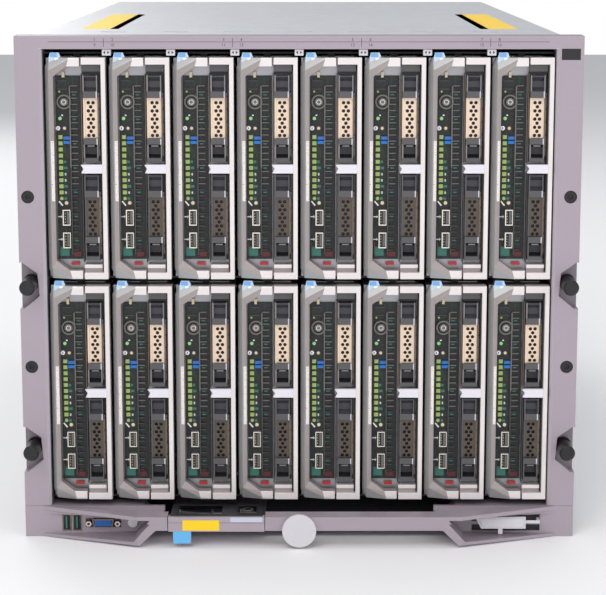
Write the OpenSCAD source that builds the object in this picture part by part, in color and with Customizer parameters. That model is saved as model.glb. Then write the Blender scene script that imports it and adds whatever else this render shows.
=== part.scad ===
// Blade server chassis, ten rack units high, with sixteen half-height server blades in two rows of eight.
// Millimetres, +Z up. The front faces -Y. Local y is 0 at the rack ears' front face and grows to the rear.

/* [Chassis] */
// Width over the two rack ears
ear_w = 482.6; // [481:0.1:486]
// How far each rack ear stands past the sheet-metal body
ear_flange = 17.8; // [17:0.1:18.2]
// Height of the chassis
chassis_h = 440; // [439:0.5:444]
// Depth from the ears' front face to the ends of the rear handles
chassis_d = 754; // [748:1:775]
// Thickness of the body's sheet metal
sheet_t = 1.5; // [1:0.1:1.8]
// Assembly gap between separate pieces
gap = 0.3; // [0.2:0.05:0.4]

/* [Front bezel] */
// Depth of the bezel frame
bezel_d = 22; // [20:0.5:26]
// Height of the bezel's top bar
top_bar_h = 11.1; // [10:0.1:13]
// Width of each stile of the bezel
stile_w = 23.2; // [22:0.1:23.6]
// How far the ears' back stands behind the rest of the bezel's back
ear_seat = 1; // [0.5:0.1:1.5]
// Seam between the bezel's frame and its bowed lower moulding
seam = 0.2; // [0.15:0.05:0.3]
// Width of the bevel along the inner edge of each stile
lip_w = 2.2; // [1:0.1:3]
// How far the bowed bottom bar stands in front of the ears
bow_out = 32; // [26:0.5:36]
// How far the round badge stands in front of the bow
badge_out = 3.5; // [2:0.1:5]
// How far in from the ears' edges the bow starts
bow_edge = 15.3; // [10:0.1:19]
// Half width at which the bow is full
bow_x1 = 140; // [138:0.5:150]
// Height of the bow's upper edge
lip_z = 27.8; // [27.4:0.1:29]
// Height of the lower edge of the bow's middle bar
bar_z = 15.6; // [15:0.1:16.5]
// Depth of the middle bar
bar_d = 16; // [12:0.5:18]
// Thickness of the lip above the finger pockets
lip_t = 3.3; // [2.5:0.1:4]
// Height of the deck step behind the lip
deck_step = 3.2; // [2.5:0.1:3.6]
// Half width of the middle bar's lower edge
rise_x = 124.3; // [122:0.1:126]
// Half width and height of the pockets' lowest corner
foot_x = 138; // [136:0.1:139]
// Height of the pockets' lowest corner
foot_z = 2.2; // [1.5:0.1:3]
// Thickness of the pockets' floor
floor_t = 2.6; // [2:0.1:3]
// Height of the rail under the display drawer
rail_z = 14.5; // [13.5:0.1:14.8]
// Height of the rail's raised underside
rail_lo = 5.5; // [3:0.1:6.5]

/* [Rack screws] */
// Distance from an ear's outer edge to its column of rack holes
hole_edge = 8.75; // [8.5:0.05:9.2]
// Height of the lower thumbscrews
thumb_z = 80.3; // [79:0.05:81.5]
// Height between the lower and the upper thumbscrews
thumb_rise = 146.05; // [145:0.05:147]
// Height of the lower ear screws
ear_screw_z = 153.3; // [152:0.05:155]
// Height between the lower and the upper ear screws
ear_screw_rise = 149.25; // [148:0.05:151]
// Radius of a thumbscrew's knob
knob_r = 6.7; // [6:0.1:7.2]
// How far a knob stands in front of the ear
knob_out = 18; // [14:0.5:20]
// Radius of a thumbscrew's threaded end
thumb_r = 3; // [2.5:0.1:3.2]
// Radius of the plain neck between the knob and the threaded end
neck_r = 2.6; // [2:0.1:2.8]
// Length of the plain neck behind the ear
neck_end = 3; // [2.5:0.1:4]
// Length of the threaded screw behind the ear, with its neck
thumb_end = 13; // [10:0.5:16]
// Depth of the pockets around the thumbscrews
pocket_d = 13; // [11:0.5:15]
// Radial clearance of a turning or sliding pin
pin_clear = 0.08; // [0.05:0.01:0.1]
// Radius of an ear screw's head
ear_head_r = 5.25; // [4.8:0.05:5.6]
// Depth of an ear screw's head pocket
ear_head_d = 4; // [3:0.1:5]

/* [Slots] */
// Number of blade columns
cols = 8; // [6:1:8]
// Clearance beside the outer slots, both sides together
side_room = 0.76; // [0.5:0.02:1.6]
// Clearance between two blades of a row
slot_gap = 2.43; // [2.2:0.01:2.8]
// Clearance between the upper blades and the top bar
top_room = 7.2; // [6.6:0.1:8]
// Clearance between the two rows
row_gap = 6.3; // [6.1:0.1:6.8]
// Height of the lower row
row_z0 = 33.8; // [33.5:0.1:34.2]
// Front edge of the shelves between the rows
shelf_y = 14; // [13.5:0.5:20]
// Front face of the midplane
midplane_y = 549; // [548.5:0.5:555]
// Thickness of the midplane
midplane_t = 3; // [2:0.1:4]
// Depth of the connectors on the midplane
conn_d = 5; // [4:0.5:5.2]
// Width of the tabs between the slots
tab_w = 7.5; // [6:0.1:8]
// Height of the tabs between the slots
tab_h = 5.6; // [5:0.1:6]

/* [Blade] */
// How far the housing stands inside the front's outline
house_in = 0.6; // [0.5:0.05:0.8]
// Rear end of the housing
blade_back = 543; // [535:0.5:543.2]
// Thickness of the housing's sheet metal
house_t = 1; // [0.8:0.1:1.2]
// Width of the fixed frame at the right of the lever
frame_w = 20.5; // [20.4:0.1:21]
// Depth of the lever
lever_d = 9; // [8:0.1:9.6]
// Width of the lever's bevel
lever_bevel = 3.6; // [3:0.1:4]
// Depth over which the lever's bevel slopes back
bevel_d = 7; // [5:0.1:7.5]
// Outer edge to inner edge of the lever's stile
lever_stile = 7.6; // [7:0.1:8.5]
// Height of the lever's bars
lever_bar = 7.4; // [7.2:0.1:8]
// Height of the lever's pivot above the blade's lower edge
pivot_z = 4; // [3.8:0.1:4.2]
// Depth of the lever's pivot
pivot_y = 4.5; // [4.3:0.1:4.8]
// Radius of the lever's pivot pin
pivot_r = 1.2; // [1:0.05:1.4]
// Slit between the lever and the fixed frame
slit = 1.4; // [1:0.1:1.8]
// Width of the fixed frame's right stile
frame_stile = 4; // [3:0.1:4.2]
// Depth of the fixed frame
frame_d = 12; // [10:0.1:12.4]
// Height of the fixed frame's top bar
frame_top = 5.9; // [5:0.1:7]
// Height of the fixed frame's bottom ledge
frame_ledge = 12.4; // [11:0.1:13]
// Height of the cross tag
tag_h = 7.8; // [7:0.1:8]
// Height of a release button above the blade's top
button_up = 4.1; // [3:0.1:4.3]
// Width of a release button
button_w = 10; // [8:0.1:11]
// Travel of a release button
release_press = 1.5; // [1:0.1:1.8]

/* [Drives] */
// Width of a drive carrier
drive_w = 14; // [13:0.1:14.4]
// Rear end of a drive carrier
drive_back = 125; // [110:1:140]
// Wall of a drive carrier
drive_t = 1.5; // [1:0.1:2]
// Height of the lower drive carrier above the blade's lower edge
drive_lo_z = 15.8; // [15.6:0.1:16.4]
// Distance from the upper drive carrier to the blade's top
drive_top = 15.2; // [14.8:0.1:16]
// Clearance between the cross tag and each carrier
tag_gap = 1.5; // [1:0.1:2]
// Height of a carrier's upper latch
latch_h = 13.7; // [12:0.1:15]
// Height of a carrier's cross bars
bar_h = 5.2; // [4:0.1:6]
// Height of a carrier's lower latch with its foot and bar
foot_h = 20.5; // [18:0.1:24]

/* [Display drawer] */
// Left edge of the display drawer
lcd_x = -113.3; // [-113.6:0.1:-113]
// Width of the display drawer
lcd_w = 83.2; // [82.8:0.1:83.6]
// Length of the drawer's plate behind its front
lcd_len = 162; // [140:1:180]
// Depth of the display panel
lcd_panel_d = 36; // [34:0.5:37]
// Thickness of the drawer's plate
lcd_t = 1.5; // [1.2:0.1:2]
// Radius of the panel's hinge pin
lcd_pin_r = 1.3; // [1.1:0.05:1.4]

/* [Rear] */
// How far the rear handles stand behind the modules
handle_out = 16; // [12:0.5:20]
// Height of the power supplies
psu_h = 86; // [84:0.5:87]
// Height of the management modules
mgmt_h = 33; // [31:0.5:34]
// Width of a fan module
fan_w = 62; // [61:0.1:62.6]
// Clearance beside each fan and interconnect module
module_gap = 1.1; // [0.8:0.1:1.4]
// Thickness of the modules' front plates
plate_t = 2; // [1.5:0.1:2.5]
// Wall of the rear modules' housings
module_t = 2; // [1.5:0.1:3]
// Front end of the rear modules
module_y = 566; // [564:0.5:575]

/* [Hidden] */
$fn = 48;
e = 0.01;
cut = 1;
rear_y = chassis_d - handle_out;
mid_y = (chassis_d - bow_out - badge_out) / 2;
ear_x = ear_w / 2;
body_x = ear_x - ear_flange;
body_w = 2 * body_x;
hole_span = ear_w - 2 * hole_edge;
bow_x0 = ear_x - bow_edge;
shell_y = bezel_d - ear_seat + gap;
open_x = ear_x - stile_w;
open_top = chassis_h - top_bar_h;
inner_x = body_x - sheet_t - gap;
blade_pitch = (2 * open_x - side_room) / cols;
blade_w = blade_pitch - slot_gap;
blade_h = (open_top - top_room - row_z0 - row_gap) / 2;
row_z = [row_z0, row_z0 + blade_h + row_gap];
frame_x = blade_w - frame_w;
lever_w = frame_x - slit;
drive_h = (blade_h - drive_lo_z - drive_top - tag_h) / 2 - tag_gap;
tag_z = drive_lo_z + drive_h + tag_gap;
drive_hi_z = tag_z + tag_h + tag_gap;
iom_w = (2 * inner_x - 3 * fan_w - 10 * module_gap) / 6;
deck_z = lip_z - deck_step;
pocket_top = lip_z - lip_t;
wall_x = rise_x - 6;
root_d = 4;
tray_z = rail_z + gap;
shelf_back = midplane_y - gap;
house_y = frame_d + gap;
conn_y = midplane_y - conn_d - gap;
blade_conn = conn_y - gap;
left_x = lcd_x - 0.7;
right_x = lcd_x + lcd_w + 0.7;

// ---- shared shapes ----
// Each slot's column and row: slots 1 to 8 lie in the upper row
function slot_col(n) = (n - 1) % cols;
function slot_row(n) = n <= cols ? 1 : 0;
function slot_x(n) = (slot_col(n) - (cols - 1) / 2) * blade_pitch - blade_w / 2;

module placed() translate([0, -mid_y, 0]) children();
module slot(n) translate([slot_x(n), -mid_y, row_z[slot_row(n)]]) children();
module box(x, y, z) translate([x[0], y[0], z[0]]) cube([x[1] - x[0], y[1] - y[0], z[1] - z[0]]);
module front_slab(y0, y1) translate([0, y1, 0]) rotate([90, 0, 0]) linear_extrude(y1 - y0) children();
module side_slab(x0, x1) translate([x0, 0, 0]) rotate([90, 0, 90]) linear_extrude(x1 - x0) children();
module plan_slab(z0, z1) translate([0, 0, z0]) linear_extrude(z1 - z0) children();
module rod_y(x, z, r, y0, y1) translate([x, y0, z]) rotate([-90, 0, 0]) cylinder(h = y1 - y0, r = r);
module rod_x(y, z, r, x0, x1) translate([x0, y, z]) rotate([0, 90, 0]) cylinder(h = x1 - x0, r = r);
module pair() { children(); mirror([1, 0, 0]) children(); }
// A wedge that bevels the front edge running from (x0, z0) to (x1, z1), with the waste on its right
module edge_wedge(x0, z0, x1, z1, drop, depth) {
  run = norm([x1 - x0, z1 - z0]);
  translate([x0, 0, z0]) rotate([0, -atan2(z1 - z0, x1 - x0), 0]) side_slab(-2 * run, 3 * run)
    polygon([[-cut, 0], [0, 0], [depth, -drop], [depth + e, -drop - 30], [-cut, -drop - 30]]);
}

// ---- enclosure ----
module enclosure() placed() color([0.62, 0.62, 0.64]) {
  box([-body_x, body_x], [shell_y, rear_y], [0, sheet_t]);
  for (s = [-1, 1])
    box(s > 0 ? [body_x - sheet_t, body_x] : [-body_x, sheet_t - body_x], [shell_y, rear_y],
      [sheet_t + gap, chassis_h - sheet_t - gap]);
  for (x = [left_x + 1, right_x - 9])
    box([x, x + 8], [shell_y, bezel_d + lcd_len], [sheet_t + gap, rail_z]);
}

dimple_y = 63;
module top_cover() placed() color([0.72, 0.72, 0.74]) difference() {
  box([-body_x, body_x], [shell_y, rear_y], [chassis_h - sheet_t, chassis_h]);
  for (i = [1 - cols / 2 : cols / 2 - 1]) translate([i * blade_pitch, dimple_y, chassis_h - 0.7]) {
    translate([-8, -4, 0]) cube([16, 8, cut]);
    for (s = [-8, 8]) translate([s, 0, 0]) cylinder(h = cut, r = 4);
  }
}

// Floor, middle shelf and roof of the bays, with the guide strips that hold the blades' tops
module bay_shelves() placed() color([0.35, 0.36, 0.38]) {
  for (z = [row_z[0] + house_in - gap, row_z[1] + house_in - gap, row_z[1] + blade_h + 4])
    plan_slab(z - sheet_t, z) polygon([[gap - open_x, shelf_y], [open_x - gap, shelf_y], [open_x - gap, shell_y],
      [inner_x, shell_y], [inner_x, shelf_back], [-inner_x, shelf_back], [-inner_x, shell_y], [gap - open_x, shell_y]]);
  for (r = [0, 1], c = [0 : cols - 1]) {
    top = r == 0 ? row_z[1] + house_in - gap - sheet_t : row_z[1] + blade_h + 4 - sheet_t;
    x = (c - (cols - 1) / 2) * blade_pitch;
    box([x - 3, x + 3], [shelf_y + 6, shelf_back - 20], [row_z[r] + blade_h - house_in + gap, top - gap]);
  }
}

module midplane() placed() color([0.10, 0.32, 0.20]) {
  box([-inner_x, inner_x], [midplane_y, midplane_y + midplane_t], [sheet_t + gap, chassis_h - sheet_t - gap]);
  for (n = [1 : 2 * cols]) translate([slot_x(n) + 7, 0, row_z[slot_row(n)] + 20])
    box([0, 8], [conn_y, midplane_y - gap], [0, 70]);
  for (c = [-5 : 5]) box([c * 38 - 12, c * 38 + 12], [midplane_y + midplane_t + gap, module_y - gap], [200, 260]);
}

// ---- front bezel ----
module ring_outline() polygon([[-ear_x, 0], [-foot_x, 0], [-rise_x, rail_lo], [rise_x, rail_lo], [foot_x, 0],
  [ear_x, 0], [ear_x, chassis_h], [-ear_x, chassis_h]]);
module ring_opening() polygon([[-open_x, open_top], [-open_x, lip_z], [-foot_x, lip_z], [-rise_x, rail_z],
  [rise_x, rail_z], [foot_x, lip_z], [open_x, lip_z], [open_x, open_top]]);
module bow_outline() polygon([[-ear_x, 0], [-foot_x, foot_z], [-rise_x, bar_z], [rise_x, bar_z],
  [foot_x, foot_z], [ear_x, 0], [ear_x, lip_z], [-ear_x, lip_z]]);
module bow_plan(out, back = 0, x0 = bow_x0) polygon(concat([[-x0, 0], [-bow_x1, -out], [bow_x1, -out], [x0, 0]],
  back > 0 ? [[x0, back], [-x0, back]] : []));
module pocket_outline(top) polygon([[foot_x + 6, foot_z + floor_t], [rise_x + 5, top], [ear_x, top],
  [ear_x, floor_t]]);
module thumb_pocket(z) polygon([[ear_x + cut, z + 19.2], [ear_x - 2.3, z + 19.2], [ear_x - 15.5, z + 9.7],
  [ear_x - 17.1, z - 10.2], [ear_x - 3.7, z - 21.5], [ear_x + cut, z - 21.5]]);

usb_x = [32.7 - ear_x, 41.9 - ear_x];
usb_w = 7.6;
usb_z = [5.5, 20.3];
vga_x = 68.6 - ear_x;
vga_z = 12.6;
button_x = 94.8 - ear_x;
button_z = 13.6;
button_r = 4.4;

module bezel_bow() difference() {
  intersection() {
    front_slab(-bow_out, root_d) bow_outline();
    plan_slab(-cut, lip_z + cut) bow_plan(bow_out, root_d);
  }
  pair() {
    front_slab(-bow_out - cut, 0) pocket_outline(pocket_top - deck_step);
    difference() {
      front_slab(-bow_out - cut, 0) pocket_outline(pocket_top);
      plan_slab(-cut, lip_z) bow_plan(bow_out - bar_d, 2);
    }
  }
  plan_slab(deck_z, lip_z + cut) bow_plan(bow_out - bar_d, 0, bow_x0 - 8);
  box([-wall_x, wall_x], [bar_d - bow_out, root_d + cut], [-cut, lip_z + cut]);
  box([left_x, right_x], [-bow_out - cut, root_d + cut], [-cut, lip_z + cut]);
}

module front_bezel() placed() color([0.62, 0.58, 0.60]) difference() {
  union() {
    front_slab(0, bezel_d) difference() { ring_outline(); ring_opening(); }
    bezel_bow();
  }
  box([-ear_x - cut, ear_x + cut], [-cut, bezel_d + cut], [lip_z, lip_z + seam]);
  box([-body_x - 0.5, body_x + 0.5], [bezel_d - ear_seat, bezel_d + cut], [-cut, chassis_h + cut]);
  pair() {
    plan_slab(lip_z, open_top) polygon([[open_x - cut, -cut], [open_x + lip_w, -cut], [open_x + lip_w, 0],
      [open_x, lip_w], [open_x - cut, lip_w]]);
    for (z = [thumb_z, thumb_z + thumb_rise]) {
      front_slab(-cut, pocket_d) thumb_pocket(z);
      rod_y(hole_span / 2, z, neck_r + pin_clear, pocket_d - cut, bezel_d + cut);
    }
    for (z = [ear_screw_z, ear_screw_z + ear_screw_rise]) {
      rod_y(hole_span / 2, z, ear_head_r + gap, -cut, ear_head_d);
      rod_y(hole_span / 2, z, 2.5 + gap, ear_head_d - cut, bezel_d + cut);
    }
  }
  for (x = usb_x) box([x - gap, x + usb_w + gap], [-cut, 14], [usb_z[0] - gap, usb_z[1] + gap]);
  box([vga_x - 10, vga_x + 10], [-cut, 11], [vga_z - 4.2, vga_z + 4.2]);
  box([vga_x - 15.6, vga_x + 15.6], [-cut, 4], [vga_z - 4.2, vga_z + 4.2]);
  rod_y(button_x, button_z, button_r + pin_clear, -cut, 16);
  for (z = [[5.2, 11], [14, 20.6]]) box([152, 212], [-cut, 15], z);
}

module slot_tabs() placed() color([0.86, 0.86, 0.87])
  for (i = [1 - cols / 2 : cols / 2 - 1])
    box([i * blade_pitch - tab_w / 2, i * blade_pitch + tab_w / 2], [1.5, 8], [open_top - tab_h, open_top - gap]);

module ear_screws() placed() color([0.08, 0.08, 0.09])
  for (s = [-1, 1], z = [ear_screw_z, ear_screw_z + ear_screw_rise]) difference() {
    union() {
      rod_y(s * hole_span / 2, z, ear_head_r, 0.8, ear_head_d - 0.1);
      rod_y(s * hole_span / 2, z, 2.5, ear_head_d - 0.5, bezel_d - gap);
    }
    translate([s * hole_span / 2, 0, z]) rotate([-90, 0, 0]) cylinder(h = 2.6, r = 2.2, $fn = 6);
  }

// A knurled knob, its washer and its threaded end, turned about Y
module thumbscrew(s, z) placed() color([0.10, 0.10, 0.11])
  translate([s * hole_span / 2, 0, z]) rotate([-90, 0, 0]) rotate_extrude()
    polygon([[0, -knob_out], [knob_r - 1.2, -knob_out], [knob_r, 1.2 - knob_out], [knob_r, 4], [knob_r - 1.6, 4.8],
      [knob_r - 1.6, pocket_d - 1.6], [knob_r + 0.5, pocket_d - 1.6], [knob_r + 0.5, pocket_d - gap],
      [neck_r, pocket_d - gap], [neck_r, bezel_d + neck_end], [thumb_r, bezel_d + neck_end],
      [thumb_r, bezel_d + thumb_end - 1], [thumb_r - 1, bezel_d + thumb_end],
      [0, bezel_d + thumb_end]]);

module usb_socket(w, h, d) {
  difference() {
    cube([w, d, h]);
    translate([0.7, -cut, 0.7]) cube([w - 1.4, d, h - 1.4]);
  }
  translate([w / 2 - 1, 1.2, 1.6]) cube([2, d - 1.6, h - 3.2]);
}

module front_ports() placed() color([0.70, 0.68, 0.64]) {
  for (x = usb_x) translate([x, -0.6, usb_z[0]]) usb_socket(usb_w, usb_z[1] - usb_z[0], 13.6);
  difference() {
    front_slab(-3, 10.5) polygon([[vga_x - 9.4, vga_z + 3.8], [vga_x + 9.4, vga_z + 3.8],
      [vga_x + 8, vga_z - 3.8], [vga_x - 8, vga_z - 3.8]]);
    front_slab(-3 - cut, 1) polygon([[vga_x - 8.6, vga_z + 3.1], [vga_x + 8.6, vga_z + 3.1],
      [vga_x + 7.3, vga_z - 3.1], [vga_x - 7.3, vga_z - 3.1]]);
  }
  for (s = [-12.7, 12.7]) difference() {
    rod_y(vga_x + s, vga_z, 2.4, -4, 3.7);
    rod_y(vga_x + s, vga_z, 1.2, -4 - cut, 1);
  }
}

module chassis_button() placed() color([0.93, 0.93, 0.93])
  rod_y(button_x, button_z, button_r, -4, 11);

plate_x = [154, 159.4, 198.4];
plate_z = [10.5, 21];
rim = 1.4;
module front_badges() placed() color([0.80, 0.80, 0.82]) {
  rod_y(0, 16.4, 14.7, -bow_out - badge_out, -bow_out - gap);
  difference() {
    front_slab(-11, -8.5) polygon([[plate_x[0], plate_z[1]], [plate_x[2], plate_z[1]],
      [plate_x[2], plate_z[0]], [plate_x[1], plate_z[0]]]);
    front_slab(-11 - cut, -10.2) polygon([[plate_x[0] + 3, plate_z[1] - rim], [plate_x[2] - rim, plate_z[1] - rim],
      [plate_x[2] - rim, plate_z[0] + rim], [plate_x[1] + rim, plate_z[0] + rim]]);
  }
  box([174.4, 178.4], [-10, -7.4], [foot_z + floor_t + gap, plate_z[0] + 0.5]);
  box([plate_x[2] - 0.4, 211], [-9.6, -8.6], [15, 17.6]);
  box([208.6, 211], [-9.6, -gap], [15, 17.6]);
}

// ---- display drawer ----
lip_in = -bow_out + 2.6;
lcd_pin_y = lip_in + 2.6;
lcd_pin_z = lip_z - 2.6;
module lcd_tray() placed() color([0.42, 0.42, 0.44]) {
  box([lcd_x, lcd_x + lcd_w], [-bow_out, lcd_len - bow_out], [tray_z, tray_z + lcd_t]);
  box([lcd_x, lcd_x + lcd_w], [-bow_out, lip_in], [tray_z, lip_z]);
  for (x = [lcd_x, lcd_x + lcd_w - 1.5]) box([x, x + 1.5], [lip_in - e, lcd_pin_y + 2], [lcd_pin_z - 2, lip_z - 0.4]);
  rod_x(lcd_pin_y, lcd_pin_z, lcd_pin_r, lcd_x + 1, lcd_x + lcd_w - 1);
  box([lcd_x + 4.1, lcd_x + 19.8], [-bow_out + 0.4, -bow_out + 1.9], [tray_z - 10.7, tray_z + e]);
}

glass_x = [8, 46];
keys_x = [60, 76];
module lcd_panel() placed() color([0.30, 0.30, 0.32]) difference() {
  side_slab(lcd_x + 1.5 + gap, lcd_x + lcd_w - 1.5 - gap) polygon([[lip_in + gap, tray_z + lcd_t + gap],
    [lip_in + gap + lcd_panel_d, tray_z + lcd_t + gap], [lip_in + gap + lcd_panel_d, lip_z],
    [lcd_pin_y, lip_z], [lip_in + gap, lcd_pin_z]]);
  rod_x(lcd_pin_y, lcd_pin_z, lcd_pin_r + pin_clear, lcd_x, lcd_x + lcd_w);
  box([lcd_x + glass_x[0], lcd_x + glass_x[1]], [lip_in + 8, lip_in + lcd_panel_d - 4], [lip_z - 0.8, lip_z + cut]);
  box([lcd_x + keys_x[0], lcd_x + keys_x[1]], [lip_in + 10, lip_in + lcd_panel_d - 6], [lip_z - 0.5, lip_z + cut]);
}

// ---- blade pieces, in a blade's own frame: x from its left edge, z from its lower edge ----
h_edge = [10.4, 2.3];
h_split = 20.8;
module lever_outline() polygon([[0, 0], [lever_w, 0], [lever_w, lever_bar], [19.1, lever_bar], [lever_stile, 16.2],
  [lever_stile, blade_h - 15.8], [19.1, blade_h - lever_bar - 0.2], [lever_w, blade_h - lever_bar - 0.2],
  [lever_w, blade_h], [0, blade_h]]);
module lever_button(g, press = 0) box([4.2 - g, 4.2 + button_w + g], [3.4 - g, lever_d - 0.8 + g],
  [blade_h - 5 - press - g, blade_h + button_up + g]);
module lever_body() difference() {
  front_slab(0, lever_d) lever_outline();
  plan_slab(-cut, blade_h + cut) polygon([[-cut, -cut], [lever_bevel, -cut], [lever_bevel, 0], [0, bevel_d],
    [-cut, bevel_d]]);
  edge_wedge(lever_bevel, h_edge[0], h_split, h_edge[1], 7, bevel_d);
  translate([0, 0, blade_h]) mirror([0, 0, 1]) edge_wedge(lever_bevel, h_edge[0], h_split, h_edge[1], 7, bevel_d);
  rod_x(pivot_y, pivot_z, pivot_r + pin_clear, 17, lever_w + cut);
}
module lever_whole() {
  difference() {
    lever_body();
    lever_button(gap, release_press);
  }
  lever_button(0);
}

module frame_body() {
  box([blade_w - frame_stile, blade_w], [0, frame_d], [0, blade_h]);
  box([frame_x, blade_w], [0, frame_d], [blade_h - frame_top, blade_h]);
  box([frame_x, blade_w], [0, frame_d], [0, 5.6]);
  box([frame_x, blade_w], [4, frame_d], [0, frame_ledge]);
  box([frame_x + 0.8, blade_w], [1.5, 4.6], [tag_z, tag_z + tag_h]);
  front_slab(0.6, 3.4) polygon([[lever_w - 0.4, tag_z + 0.6], [frame_x + 2.5, tag_z], [blade_w, tag_z],
    [blade_w, tag_z + tag_h], [frame_x + 2.5, tag_z + tag_h], [lever_w - 0.4, tag_z + tag_h - 0.6]]);
  rod_x(pivot_y, pivot_z, pivot_r, 17.6, frame_x + 3);
}

// A carrier's side profile steps through latch, bar, grille, bar, lower latch and foot
carrier_y = 3;
grille_y = 6;
module carrier_profile(h) polygon([[drive_back, 0], [drive_back, h], [carrier_y, h], [carrier_y, h - 0.8],
  [carrier_y + 4.5, h - 4.5], [carrier_y + 4.5, h - latch_h + 4.2], [carrier_y, h - latch_h],
  [carrier_y, h - latch_h - bar_h], [grille_y, h - latch_h - bar_h - 0.5], [grille_y, foot_h + 0.4],
  [carrier_y, foot_h], [carrier_y, foot_h - bar_h + 0.2], [carrier_y + 5, foot_h - bar_h - 2],
  [carrier_y + 5, foot_h - bar_h - 8.8], [carrier_y, foot_h - bar_h - 11.2], [carrier_y, 0]]);
drive_x = frame_x + 0.8;
module carrier(z) translate([0, 0, z]) difference() {
  side_slab(drive_x, drive_x + drive_w) carrier_profile(drive_h);
  box([drive_x + drive_t, drive_x + drive_w - drive_t], [frame_d, drive_back + cut], [drive_t, drive_h - drive_t]);
}

usb_y = frame_d - 6.2;
usb_h = 13.7;
socket_z = [26.2, 46];
power_x = 15.7;
power_z = blade_h - 37.7;
// Travel of the power button
power_travel = 1;
chip_z = blade_h - 73.3;
vent_pitch = 5.26;
vents = floor((blade_h - 56) / vent_pitch);
module io_plate() {
  box([lever_stile + 0.6, lever_w - 0.2], [frame_d - 1.6, frame_d], [16, blade_h - 16]);
  box([20.4, 21.6], [frame_d - 4, frame_d - 1.6 + e], [24, blade_h - 24]);
}
module io_sockets() for (z = socket_z) translate([13.3, usb_y, z]) usb_socket(6.3, usb_h, 4.7);
module io_details() {
  box([power_x - 1.3, power_x + 4.3], [frame_d - 4, frame_d - 1.6 + e], [chip_z, chip_z + 7]);
  rod_y(power_x, power_z, 6.3, frame_d - 3, frame_d - 1.6 + e);
}

module house_ring() difference() {
  translate([house_in, house_in]) square([blade_w - 2 * house_in, blade_h - 2 * house_in]);
  translate([house_in + house_t, house_in + house_t])
    square([blade_w - 2 * house_in - 2 * house_t, blade_h - 2 * house_in - 2 * house_t]);
}
// The housing's front wall, with a window for each drive carrier
module house_wall() difference() {
  translate([house_in, house_in]) square([blade_w - 2 * house_in, blade_h - 2 * house_in]);
  for (z = [drive_lo_z, drive_hi_z]) translate([drive_x - gap, z - gap]) square([drive_w + 2 * gap, drive_h + 2 * gap]);
}
module house() {
  front_slab(house_y, blade_back - 6) house_ring();
  front_slab(house_y, house_y + house_t) house_wall();
}
board_x = house_in + house_t + gap;
sink_y = [190, 320];
sink_l = 84;
sink_z = 52;
fin_pitch = 16.2;
dimm_y = [230, 363];
dimm_h = 29;
sink_x = board_x + 1.6 + gap;
module board_stack() {
  box([board_x, board_x + 1.6], [house_y + 6, blade_conn - 8], [8, blade_h - 8]);
  for (y = sink_y) translate([sink_x, 0, sink_z]) front_slab(y, y + sink_l) difference() {
    square([32, 3 + 5 * fin_pitch]);
    for (i = [0 : 4]) translate([3, 3 + i * fin_pitch]) square([30, fin_pitch - 3]);
  }
  box([7, 15], [blade_conn - 7.8, blade_conn], [20, 90]);
}

module blade(n) slot(n) color([0.70, 0.68, 0.67]) {
  house();
  frame_body();
  io_plate();
  io_sockets();
  io_details();
  board_stack();
  carrier(drive_lo_z);
  carrier(drive_hi_z);
}
module handle(n) slot(n) color([0.74, 0.72, 0.71]) lever_whole();

// Slot 1's blade, taken apart into its own pieces
module housing_01() slot(1) color([0.66, 0.66, 0.68]) difference() {
  house();
  box([blade_w - house_in - house_t - gap, blade_w], [0, blade_back], [0, blade_h]);
}
module cover_01() slot(1) color([0.70, 0.70, 0.72])
  box([blade_w - house_in - house_t, blade_w - house_in], [house_y, blade_back - 6], [house_in, blade_h - house_in]);
module mainboard_01() slot(1) color([0.12, 0.36, 0.22]) {
  board_stack();
  for (k = [24, 31, 38], z = [k, blade_h - k - 1.2]) box([sink_x, sink_x + dimm_h], dimm_y, [z, z + 1.2]);
}
module frame_01() slot(1) color([0.75, 0.73, 0.72]) frame_body();
module io_panel_01() slot(1) color([0.10, 0.10, 0.11]) {
  difference() {
    union() { io_plate(); io_details(); }
    for (i = [0 : vents - 1]) box([lever_w - 7.9, lever_w - 1.9], [frame_d - 3, frame_d + cut],
      [28 + i * vent_pitch, 31.6 + i * vent_pitch]);
    rod_y(power_x, power_z, 3.5 + pin_clear, frame_d - 5, frame_d + cut);
  }
  io_sockets();
}
module handle_01() slot(1) color([0.74, 0.72, 0.71]) difference() {
  lever_body();
  lever_button(gap, release_press);
}
module release_button_01() slot(1) color([0.55, 0.68, 0.80]) lever_button(0);
module power_button_01() slot(1) color([0.85, 0.86, 0.86]) rod_y(power_x, power_z, 3.5, frame_d - 4.6, frame_d - 0.2 - power_travel);
module drive_upper_01() slot(1) color([0.60, 0.58, 0.55]) carrier(drive_hi_z);
module drive_lower_01() slot(1) color([0.20, 0.20, 0.21]) carrier(drive_lo_z);

// ---- rear modules ----
psu_z = sheet_t + 1;
mgmt_z = psu_z + psu_h + 1.2;
upper_z = mgmt_z + mgmt_h + 1.2;
upper_h = chassis_h - sheet_t - 1.2 - upper_z;
body_gap = 0.6;
grip_y = rear_y + 0.15;
// An upright pull handle at x and z: a bar on two posts behind the plate
module pull(x, z, len) side_slab(x - 2, x + 2) difference() {
  translate([grip_y, z - len / 2]) square([rear_y + handle_out - grip_y, len]);
  translate([grip_y - cut, z - len / 2 + 4]) square([handle_out - 4 + cut, len - 8]);
}
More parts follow.
